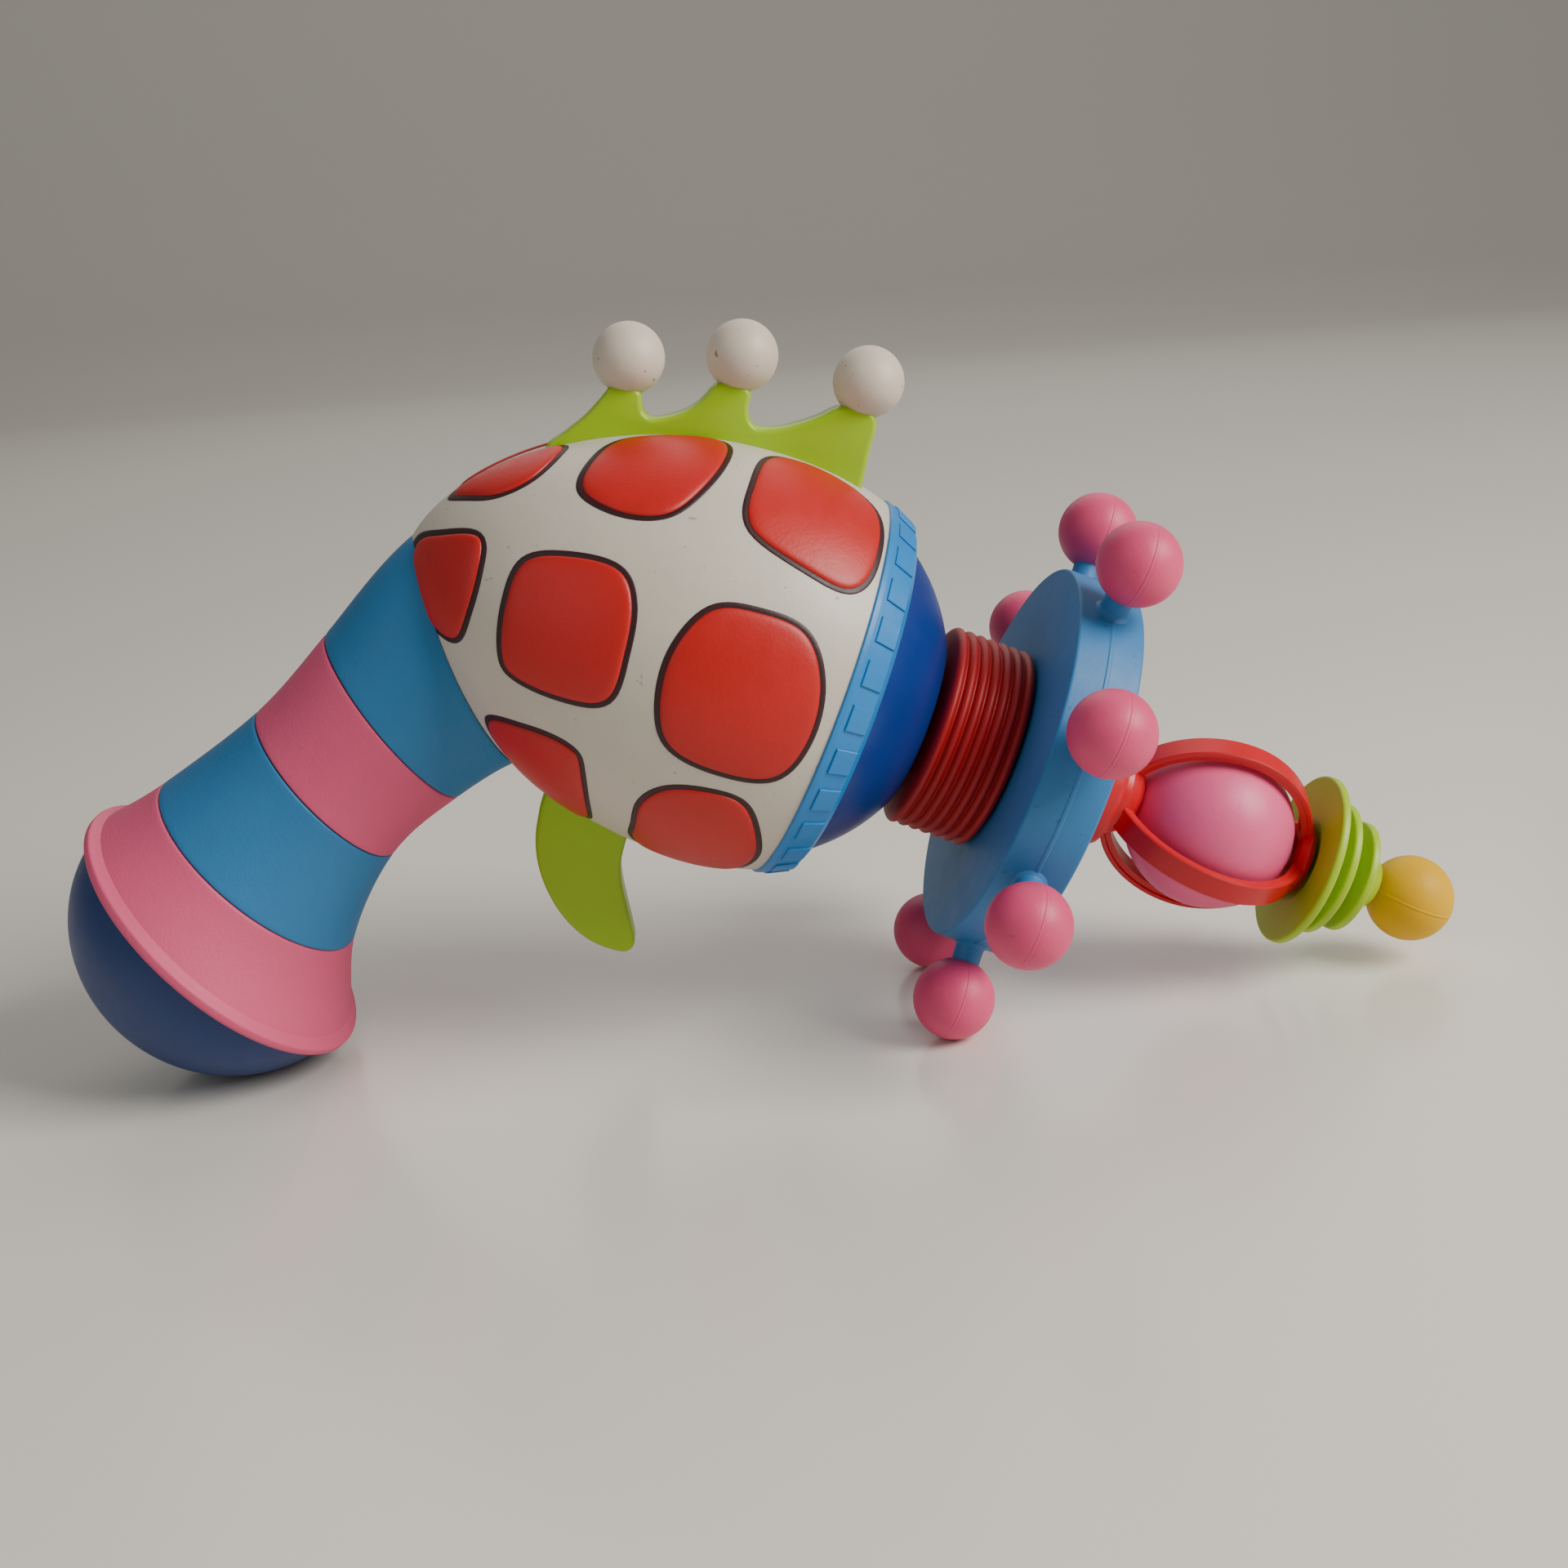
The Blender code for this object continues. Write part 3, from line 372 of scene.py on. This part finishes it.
PILLOW = [(0.0, -0.9), (0.0, 0.02), (0.06, 0.20), (0.22, 0.36), (0.5, 0.50), (0.95, 0.60), (1.6, 0.66), (2.4, 0.70), (12.0, 0.72), (30, 0.73), (50, 0.74), (70, 0.74), (88, 0.74)]
EDGE = [(-1.15, -0.8), (-1.15, 0.02), (-1.02, 0.10), (-0.6, 0.12), (-0.2, 0.10), (0.4, 0.0), (2.0, -0.2), (30, -0.3), (70, -0.3)]
for key, loop in PADS.items():
    for side, sg in (("near", 1), ("far", -1)):
        patch(f"pad_{key}_{side}_pillow", loop, sg, PILLOW, "pad_red", (f"pad_{key}_{side}",))
        patch(f"pad_{key}_{side}_outline", loop, sg, EDGE, "outline", ())

# ------------------------------------------------------------------ bezel ring, dome, neck
bm = bmesh.new()
revolve(bm, fillet([(-42.2, 37.6), (-43.4, 40.0), (-48.9, 42.55), (-50.0, 42.9), (-50.3, 42.6), (-50.3, 42.3), (-48.7, 42.3), (-48.7, 38.6), (-42.2, 37.0)], 0.3), ORG, AX, 168)
bezel = make("bezel_ring_fine", bm, "ring_blue", "root", ("bezel_ring",), 30)
bm = bmesh.new()
TABS = 28
for i in range(TABS):
    t0 = 2 * math.pi * (i + 0.5) / TABS
    half = 2 * math.pi / TABS * 0.29
    def P(a, t, h):
        r = 40.0 + (a + 43.4) * (42.55 - 40.0) / (-48.9 + 43.4)
        n = Vector((0.42, 0.907))
        return W(a + n.x * h, (r + n.y * h) * math.cos(t), -(r + n.y * h) * math.sin(t))
    lo, hi = [], []
    prof = [(-48.0, -1), (-43.5, -1), (-43.5, 1), (-48.0, 1)]
    for inset, h in ((0.0, -0.4), (0.0, 0.30), (0.13, 0.42)):
        ring = []
        for a, s in prof:
            aa = a + (inset if a < -45 else -inset)
            ring_t = [t0 + s * (half - inset / 41.0)]
            ring.append((aa, ring_t[0], h))
        lo.append(ring)
    K = 4
    def row(r):
        (a0, tl, h), (a1, _, _), (_, tr, _), _ = r
        top = [(a0, tl + (tr - tl) * k / K, h) for k in range(K + 1)]
        bot = [(a1, tl + (tr - tl) * k / K, h) for k in range(K + 1)]
        return [bm.verts.new(P(*q)) for q in top + bot[::-1]]
    rows = [row(r) for r in lo]
    m = len(rows[0])
    for A, B in zip(rows, rows[1:]):
        for k in range(m):
            j = (k + 1) % m
            bm.faces.new((A[k], A[j], B[j], B[k]))
    T = rows[-1]
    for k in range(K):
        bm.faces.new((T[k], T[k + 1], T[m - 2 - k], T[m - 1 - k]))
    Bt = rows[0]
    for k in range(K):
        bm.faces.new((Bt[k + 1], Bt[k], Bt[m - 1 - k], Bt[m - 2 - k]))
make("bezel_tabs", bm, "ring_blue", "root", (), 25, weld=False)

DOME_C, DOME_R = -65.3, 42.4
dr = lambda a: math.sqrt(max(0, DOME_R ** 2 - (a - DOME_C) ** 2))
n = 20
dome = [(a, dr(a)) for a in [-27.8 - 14.1 * i / n for i in range(n + 1)]]
turned("front_dome_fine", [(p[0], p[1], 0) for p in dome] + [(-41.9, 36.2), (-48.2, 37.6), (-52.0, 37.6), (-52.0, 35.5), (-40.0, 30.5), (-30.6, 19.0), (-30.6, 10.6), (-27.8, 10.6)],
       "dome_navy", "root", ("front_dome",), seg=112, sharp=50)
nf, nb, ribs = -7.95, -26.0, 7
prof = []
st = (nf - nb) / ribs
for i in range(ribs):
    for k in range(11):
        u = (k + 0.5) / 11
        h = math.sin(math.pi * u) ** 0.55
        prof.append((nf - (i + u) * st, 20.9 + 1.75 * h, 0))
prof = [(nf, 20.6, 0.2)] + prof + [(nb, 20.4), (nb, 10.1), (-34.0, 10.1), (-34.0, 3.35), (-24.2, 3.35), (-24.2, 18.6), (nf, 18.6)]
turned("ribbed_neck_fine", prof, "neck_red", "root", ("ribbed_neck",), seg=112, fil=0.3, sharp=45)

# ------------------------------------------------------------------ wheel and its balls
WH, WR = 7.4, 42.85
prof = [(WH, WR - 0.1, 0.7), (0.55, WR, 0.1), (0.3, WR + 0.16, 0.12), (-0.3, WR + 0.16, 0.12), (-0.55, WR, 0.1), (-WH, WR - 0.1, 0.7), (-WH, 3.4, 0.2), (WH, 3.4, 0.2)]
turned("ball_wheel_fine", prof, "wheel_blue", "wheel", ("ball_wheel",), seg=160, sharp=30)
for i in range(8):
    th = math.radians(22.5 + 45 * i)
    d = (-UP * math.cos(th) - Y * math.sin(th))
    bm = bmesh.new()
    revolve(bm, fillet([(41.5, 0, 0), (41.5, 4.2, 0.1), (42.7, 4.0, 0.3), (43.4, 3.15, 0.5), (51.0, 3.0, 0.3), (51.0, 0, 0)], 0.3, closed=False), ORG, d, 40, closed=False, ref=AX)
    make(f"wheel_peg_{i+1}", bm, "wheel_blue", "wheel", (), 40)
    seam_ball(f"wheel_ball_{i+1}_fine", ORG + d * 55.2 * MM, AX, 9.0, "ball_pink", "wheel", (f"wheel_ball_{i+1}",), seam=0.035)

# ------------------------------------------------------------------ flange, cage, rattle egg
turned("hub_flange_fine", [(19.7, 12.6, 0.5), (18.4, 13.3, 0.4), (9.4, 14.8, 0.5), (8.6, 15.0, 0.3), (7.8, 15.0, 0.3), (7.8, 3.4, 0.1), (19.7, 3.4, 0.1)], "cage_red", "root", ("hub_flange",), seg=80)
CR, CC, CB, CF = 22.2, 45.0, 25.5, 22.5
bm = bmesh.new()
for t in (22.0, 112.0, 202.0, 292.0):
    t = math.radians(t)
    rad = UP * math.cos(t) - Y * math.sin(t)
    tan = AX.cross(rad)
    NS = 40
    rows = []
    for i in range(NS + 1):
        u = -1 + 2 * i / NS
        L = CF if u > 0 else CB
        ang = u * math.pi / 2 * 0.90
        ca, sa = math.cos(ang), math.sin(ang)
        p = Vector((CC + L * sa, CR * ca))
        nrm = Vector((CR * sa, L * ca)).normalized()      # outward normal of the ellipse
        wd = 2.9
        sec = [(-wd + 0.3, 0.0), (wd - 0.3, 0.0), (wd, -0.3), (wd, -1.1), (wd - 0.5, -1.3), (wd - 0.6, -2.6), (-wd + 0.6, -2.6), (-wd + 0.5, -1.3), (-wd, -1.1), (-wd, -0.3)]
        row = []
        for w, h in sec:
            q = p + nrm * (h - 0.05)
            row.append(bm.verts.new(ORG + (AX * q.x + rad * q.y + tan * w) * MM))
        rows.append(row)
    m = len(rows[0])
    for A, B in zip(rows, rows[1:]):
        for k in range(m):
            bm.faces.new((A[k], A[(k + 1) % m], B[(k + 1) % m], B[k]))
    bm.faces.new(rows[0][::-1]); bm.faces.new(rows[-1])
make("cage_ribs", bm, "cage_red", "root", (), 28, weld=False)
bm = bmesh.new()
revolve(bm, fillet([(26.0, 6.0), (24.6, 8.0), (22.0, 9.4), (20.1, 9.4), (20.1, 3.4), (26.0, 3.4)], 0.4), ORG, AX, 64)
revolve(bm, fillet([(68.2, 6.0), (67.0, 8.6), (65.6, 9.2), (64.2, 7.4), (63.9, 3.4), (68.2, 3.4)], 0.4), ORG, AX, 64)
make("cage_hubs", bm, "cage_red", "root", ("spinner_cage",), 40)
pe = []
for i in range(41):
    u = 1 - 2 * i / 40
    L = 18.6 if u > 0 else 19.4
    an = u * math.pi / 2 * 0.88
    rr = 18.4 * math.cos(an)
    pe.append((45.0 + L * math.sin(an) / math.sin(math.pi / 2 * 0.97), rr + (0.06 if i == 20 else 0), 0))
turned("rattle_egg_fine", pe + [(pe[-1][0], 3.4, 0), (pe[0][0], 3.4, 0)], "rattle_pink", "rattle", ("rattle_egg",), seg=96, fillets=False)

# ------------------------------------------------------------------ discs and tip
D = [(66.9, 69.0, 20.0), (72.6, 74.6, 15.6), (78.6, 80.6, 13.0)]
prof = [(85.5, 3.4, 0), (85.5, 5.3, 0.2), (83.4, 7.4, 1.0), (80.6, 10.4, 0.5), (80.6, 12.9, 0.5), (78.7, 12.9, 0.7), (78.3, 7.2, 0.6), (74.9, 6.8, 0.6), (74.6, 15.5, 0.6), (72.7, 15.5, 0.8),
        (72.3, 7.6, 0.6), (69.3, 7.2, 0.6), (69.0, 19.9, 0.6), (67.0, 19.9, 0.9), (67.3, 10.0, 0.4), (68.7, 6.6, 0.3), (68.7, 3.4, 0)]
turned("disc_stack_fine", prof, "disc_green", "root", ("disc_stack",), seg=112, sharp=32)
seam_ball("tip_ball_fine", ORG + AX * 95.7 * MM, UP, 9.85, "tip_yellow", "root", ("tip_ball",), seam=0.09)

# ------------------------------------------------------------------ crown and trigger
def rounded_plate(name, pts, half, edge, material, body, replaces, n=5, egg_cut=None):
    """Plate with rounded edges from a smooth outline; the outline is inset for the rounding."""
    m = len(pts)
    V = [Vector(p) for p in pts]
    area = sum(V[i].x * V[(i + 1) % m].y - V[(i + 1) % m].x * V[i].y for i in range(m))
    if area < 0:
        V.reverse()
    rows = []
    bm = bmesh.new()
    prof = [(edge * (1 - math.sin(u * math.pi / 2 / n)), half - edge + edge * math.sin(u * math.pi / 2 / n)) for u in range(n + 1)]
    lev = [(edge * (1 - math.cos(u * math.pi / 2 / n)), half - edge + edge * math.sin(u * math.pi / 2 / n)) for u in range(n + 1)]
    seq = [(i, -y) for i, y in reversed(lev)] + lev
    for inset, y in seq:
        row = []
        for k in range(m):
            t1 = (V[k] - V[k - 1]).normalized(); t2 = (V[(k + 1) % m] - V[k]).normalized()
            tn = (t1 + t2)
            tn = tn.normalized() if tn.length > 1e-6 else t1
            nr = Vector((-tn.y, tn.x))
            sc = 1 / max(0.5, abs(Vector((-t1.y, t1.x)).dot(nr)))
            q = V[k] + nr * inset * sc
            row.append(bm.verts.new(W(q.x, q.y, y)))
        rows.append(row)
    for A, B in zip(rows, rows[1:]):
        for k in range(m):
            bm.faces.new((A[k], A[(k + 1) % m], B[(k + 1) % m], B[k]))
    bm.faces.new(rows[0][::-1]); bm.faces.new(rows[-1])
    return make(name, bm, material, body, replaces, 40)


def dense(pts, n=4, hard=()):
    out, m = [], len(pts)
    for i in range(m):
        p = [Vector(pts[(i + k) % m]) for k in (-1, 0, 1, 2)]
        if i in hard or (i + 1) % m in hard:
            out.append(p[1]); continue
        for j in range(n):
            t = j / n
            out.append(0.5 * (2 * p[1] + (p[2] - p[0]) * t + (2 * p[0] - 5 * p[1] + 4 * p[2] - p[3]) * t * t + (3 * p[1] - p[0] - 3 * p[2] + p[3]) * t ** 3))
    return out


CROWN = [(-122.6, 27.0), (-122.0, 29.8), (-119.7, 33.0), (-116.7, 37.9), (-114.5, 43.2), (-113.6, 45.4), (-110.0, 46.9), (-107.4, 46.4),
         (-106.6, 44.8), (-105.5, 43.0), (-103.6, 42.4), (-101.0, 43.5), (-97.9, 45.8), (-95.3, 49.0), (-93.8, 52.6), (-92.4, 54.2),
         (-88.6, 55.2), (-86.0, 54.4), (-85.4, 51.6), (-84.2, 49.2), (-82.0, 48.2), (-78.1, 49.6), (-74.5, 51.9), (-71.0, 54.7),
         (-67.9, 57.8), (-63.4, 59.6), (-59.3, 58.2), (-58.3, 51.7), (-56.8, 42.2), (-70.0, 40.0), (-85.0, 38.0), (-100.0, 32.0)]
crown = rounded_plate("crown_fine", dense(CROWN, 4, hard=(0, 28)), 3.95, 1.1, "lime_green", "root", ("crown",))
ec = egg_prof(0.05, TIP_A, EGG_END + 6.0, 40); ec[-1] = (TIP_A, 0.0); ec.append((EGG_END + 6.0, 0.0))
egg_cut = cutter("egg_cut", ec)
cut(crown, egg_cut)
for nm, a, b in [("rear", -112.05, 52.0), ("middle", -90.1, 60.7), ("front", -63.4, 64.9)]:
    seam_ball(f"crown_ball_{nm}_fine", W(a, b), Y, 7.55, "ball_ivory", "root", (f"crown_ball_{nm}",), seam=0.05)

TRIG = [(-98.3, -42.0), (-97.9, -48.5), (-96.7, -53.7), (-94.4, -58.7), (-91.0, -63.3), (-86.4, -67.6), (-81.1, -70.7), (-75.8, -72.1), (-70.5, -72.0),
        (-68.6, -71.0), (-68.1, -68.9), (-69.6, -66.0), (-72.8, -60.8), (-75.5, -56.3), (-77.1, -52.5), (-77.7, -49.0), (-78.3, -42.0), (-79.6, -32.0), (-82.0, -22.7), (-88.7, -22.7), (-90.5, -30.0), (-95.6, -30.6)]
trig = rounded_plate("trigger_fine", dense(TRIG, 4, hard=(18, 19, 20, 21)), 3.95, 1.3, "lime_green", "trigger", ("trigger",))
hole = cutter("trig_hole", [(-9, 2.3), (9, 2.3), (9, 0), (-9, 0)], W(-86, -27), Y, 32)
cut(trig, hole)
# slot in the egg for the trigger
def boxcut(a0, a1, b0, b1, y):
    bm = bmesh.new()
    v = [bm.verts.new(W(a, b, yy)) for a in (a0, a1) for b in (b0, b1) for yy in (-y, y)]
    for f in ((0, 1, 3, 2), (4, 6, 7, 5), (0, 4, 5, 1), (2, 3, 7, 6), (0, 2, 6, 4), (1, 5, 7, 3)):
        bm.faces.new([v[i] for i in f])
    bmesh.ops.recalc_face_normals(bm, faces=bm.faces)
    me = bpy.data.meshes.new("bx"); bm.to_mesh(me); bm.free()
    ob = bpy.data.objects.new("bx", me); bpy.context.scene.collection.objects.link(ob)
    return ob


bx = boxcut(-103.0, -76.2, -60, -34, 4.5)
cut(egg, bx)

# ------------------------------------------------------------------ grip
ST = [((-112.5, -6.5), 29.5, (-0.76, -0.65)), ((-125.2, -19.4), 26.6, (-0.72, -0.694)), ((-134.6, -37.6), 22.6, (-0.540, -0.842)),
      ((-143.8, -57.2), 21.3, (-0.480, -0.877)), ((-152.3, -80.2), 26.9, (-0.390, -0.921)), ((-154.7, -96.4), 35.4, (-0.410, -0.912))]


def grip_at(s):
    i = min(int(s), len(ST) - 2); t = s - i
    v = [(*ST[k][0], ST[k][1], *ST[k][2]) for k in (max(0, i - 1), i, i + 1, min(len(ST) - 1, i + 2))]
    c = [0.5 * ((2 * v[1][j]) + (v[2][j] - v[0][j]) * t + (2 * v[0][j] - 5 * v[1][j] + 4 * v[2][j] - v[3][j]) * t * t + (3 * v[1][j] - v[0][j] - 3 * v[2][j] + v[3][j]) * t ** 3) for j in range(5)]
    d = Vector((c[3], c[4])).normalized()
    return (c[0], c[1]), c[2], AX * d.x + UP * d.y


def flat(s):
    t = [0.64, 0.71, 0.86, 0.96, 1.0, 1.0]
    i = min(int(s), 4)
    return t[i] + (t[i + 1] - t[i]) * (s - i)


def band(name, s0, s1, material, replaces, groove0=True, groove1=True, seg=112):
    bm = bmesh.new()
    L = (s1 - s0) * 20.0
    st = []
    if groove0:
        st += [(0.10 / 20, -2.0), (0.10 / 20, -0.42), (0.16 / 20, -0.2), (0.36 / 20, -0.06), (0.6 / 20, 0)]
    else:
        st += [(0, -2.0), (0, 0)]
    K = 14
    for k in range(1, K):
        st.append(((s1 - s0) * k / K, 0))
    if groove1:
        st += [((s1 - s0) - 0.6 / 20, 0), ((s1 - s0) - 0.36 / 20, -0.06), ((s1 - s0) - 0.16 / 20, -0.2), ((s1 - s0) - 0.10 / 20, -0.42), ((s1 - s0) - 0.10 / 20, -2.0)]
    else:
        st += [((s1 - s0), 0), ((s1 - s0), -2.0)]
    rings = []
    for ds, off in st:
        (a, b), r, d = grip_at(s0 + ds)
        w = d.cross(Y)
        rings.append([bm.verts.new(W(a, b) + (Y * flat(s0 + ds) * math.cos(2 * math.pi * k / seg) + w * math.sin(2 * math.pi * k / seg)) * (r + off) * MM) for k in range(seg)])
    n = len(rings)
    for i in range(n):
        A, B = rings[i], rings[(i + 1) % n]
        for k in range(seg):
            bm.faces.new((A[k], A[(k + 1) % seg], B[(k + 1) % seg], B[k]))
    return make(name, bm, material, "root", replaces, 40)


def leaves_egg(k, off, seg):
    """Where the sleeve's line at angle k comes out of the egg."""
    lo, hi = 0.0, 1.9
    for _ in range(26):
        mid = (lo + hi) / 2
        (a, b), r, d = grip_at(mid)
        w = d.cross(Y)
        q = (AX * a + UP * b) + (Y * flat(mid) * math.cos(2 * math.pi * k / seg) + w * math.sin(2 * math.pi * k / seg)) * (r + off)
        qa, qb, qy = q.dot(AX), q.dot(UP), q.y
        inside = qa > TIP_A - 0.25 and math.hypot(qb, qy) < egg_r(max(qa, TIP_A + 0.01), 0.0) + 0.25
        if inside:
            lo = mid
        else:
            hi = mid
    return hi


def first_band(seg=112):
    bm = bmesh.new()
    so = [leaves_egg(k, 0.0, seg) for k in range(seg)]
    si = [leaves_egg(k, -2.0, seg) for k in range(seg)]
    end = 2.0
    rows = [[(si[k], -2.0) for k in range(seg)], [(so[k], -0.12) for k in range(seg)]]
    for u in (0.012, 0.06, 0.14, 0.24, 0.34, 0.44, 0.54, 0.64, 0.74, 0.84, 0.92):
        rows.append([(so[k] + (end - 0.03 - so[k]) * u, 0.0) for k in range(seg)])
    for back, off in ((0.030, 0.0), (0.018, -0.06), (0.008, -0.2), (0.005, -0.42), (0.005, -2.0)):
        rows.append([(end - back, off) for k in range(seg)])
    rings = []
    for row in rows:
        ring = []
        for k, (sv, off) in enumerate(row):
            (a, b), r, d = grip_at(sv)
            w = d.cross(Y)
            ring.append(bm.verts.new(W(a, b) + (Y * flat(sv) * math.cos(2 * math.pi * k / seg) + w * math.sin(2 * math.pi * k / seg)) * (r + off) * MM))
        rings.append(ring)
    n = len(rings)
    for i in range(n):
        A, B = rings[i], rings[(i + 1) % n]
        for k in range(seg):
            bm.faces.new((A[k], A[(k + 1) % seg], B[(k + 1) % seg], B[k]))
    return make("grip_band_1_fine", bm, "grip_blue", "root", ("grip_band_1_blue",), 40)


first_band()
band("grip_band_2_fine", 2.0, 3.0, "grip_pink", ("grip_band_2_pink",))
band("grip_band_3_fine", 3.0, 4.0, "grip_blue", ("grip_band_3_blue",))
band("grip_band_4_fine", 4.0, 4.95, "grip_pink", ("grip_band_4_pink",), groove1=False)
(ca, cb), cr, bd = grip_at(5.0)
BO = W(ca, cb)
turned("butt_rim_fine", [(2.2, 34.0, 0.1), (2.3, 36.4, 0.7), (1.6, 37.05, 0.7), (0.1, 37.05, 0.7), (-0.6, 35.9, 0.3), (-1.4, 34.9, 0.2), (-1.4, 33.0, 0.1)], "grip_pink", "root", ("butt_rim",), origin=BO, axis=bd, seg=128)
DB, DH = 34.6, 32.0
dome = [(0.1 + DH * math.cos(u * math.pi / 2 / 36), DB * math.sin(u * math.pi / 2 / 36), 0) for u in range(37)]
dome[0] = (dome[0][0], 0.0, 0)
din = [(0.1 + (DH - 2.2) * math.cos(u * math.pi / 2 / 18), (DB - 2.2) * math.sin(u * math.pi / 2 / 18), 0) for u in range(18, -1, -1)]
din[-1] = (din[-1][0], 0.0, 0)
turned("butt_cap_fine", dome + [(-0.6, DB, 0), (-0.6, DB - 2.2, 0)] + din, "butt_navy", "root", ("butt_cap",), origin=BO, axis=bd, seg=128, fillets=False, sharp=50)

for ob in list(bpy.data.objects):
    if ob.name in ("egg_cut", "egg_cut2", "trig_hole") or ob.name.startswith("bx"):
        bpy.data.objects.remove(ob, do_unlink=True)

# ------------------------------------------------------------------ floor, light, camera
bm = bmesh.new()
sweep = [(-3.0, 0.0), (0.0, 0.0), (1.9, 0.0)] + [(1.9 + 1.2 * math.sin(math.radians(t)), 1.2 - 1.2 * math.cos(math.radians(t))) for t in range(6, 91, 6)] + [(3.1, 4.0)]
cols = [[bm.verts.new((x, y, z)) for x in (-5.0, 5.0)] for y, z in sweep]
for A, B in zip(cols, cols[1:]):
    f = bm.faces.new((A[0], A[1], B[1], B[0])); f.smooth = True
me = bpy.data.meshes.new("floor"); bm.to_mesh(me); bm.free()
floor = bpy.data.objects.new("floor", me)
bpy.context.scene.collection.objects.link(floor)
fm = bpy.data.materials.new("floor_pale"); fm.use_nodes = True
fb = fm.node_tree.nodes["Principled BSDF"]
fb.inputs["Base Color"].default_value = (0.80, 0.765, 0.70, 1)
fb.inputs["Roughness"].default_value = 0.22
fb.inputs["Specular IOR Level"].default_value = 0.45
me.materials.append(fm)


def area(name, loc, target, size, power, color=(1, 1, 1), size_y=None):
    l = bpy.data.lights.new(name, 'AREA')
    l.shape = 'RECTANGLE'; l.size = size; l.size_y = size_y or size; l.energy = power; l.color = color
    o = bpy.data.objects.new(name, l)
    bpy.context.scene.collection.objects.link(o)
    o.location = loc
    o.rotation_euler = (Vector(target) - Vector(loc)).to_track_quat('-Z', 'Y').to_euler()
    return o


area("window", (1.15, -0.55, 0.95), (0, 0, 0.06), 0.8, 31.0, (1.0, 0.97, 0.92))
area("room_fill", (-1.2, -0.9, 0.9), (0, 0, 0.06), 1.4, 3.5, (0.92, 0.96, 1.0))
area("back", (0.1, 1.3, 1.2), (0, 0, 0.05), 1.6, 8.0, (1.0, 0.98, 0.95))
w = bpy.context.scene.world or bpy.data.worlds.new("world")
bpy.context.scene.world = w
w.use_nodes = True
w.node_tree.nodes["Background"].inputs[0].default_value = (0.62, 0.62, 0.60, 1)
w.node_tree.nodes["Background"].inputs[1].default_value = 0.32

yaw, pit, rol = 0.0232682479, 0.289331681, -0.0775422679
fw = Vector((math.sin(yaw) * math.cos(pit), math.cos(yaw) * math.cos(pit), -math.sin(pit)))
r0 = Vector((math.cos(yaw), -math.sin(yaw), 0)); u0 = r0.cross(fw)
rt = r0 * math.cos(rol) + u0 * math.sin(rol)
ut = -r0 * math.sin(rol) + u0 * math.cos(rol)
cam = bpy.data.cameras.new("camera")
cam.sensor_width = 36.0
cam.lens = 2359.2 / 1920 * 36.0
cam.clip_start = 0.01
co = bpy.data.objects.new("camera", cam)
bpy.context.scene.collection.objects.link(co)
loc = Vector((WX - 0.063952, -0.410043, 0.176818 + WZ - 0.055236))
mw = Matrix((( rt.x, ut.x, -fw.x, loc.x), (rt.y, ut.y, -fw.y, loc.y), (rt.z, ut.z, -fw.z, loc.z), (0, 0, 0, 1)))
co.matrix_world = mw
bpy.context.scene.camera = co
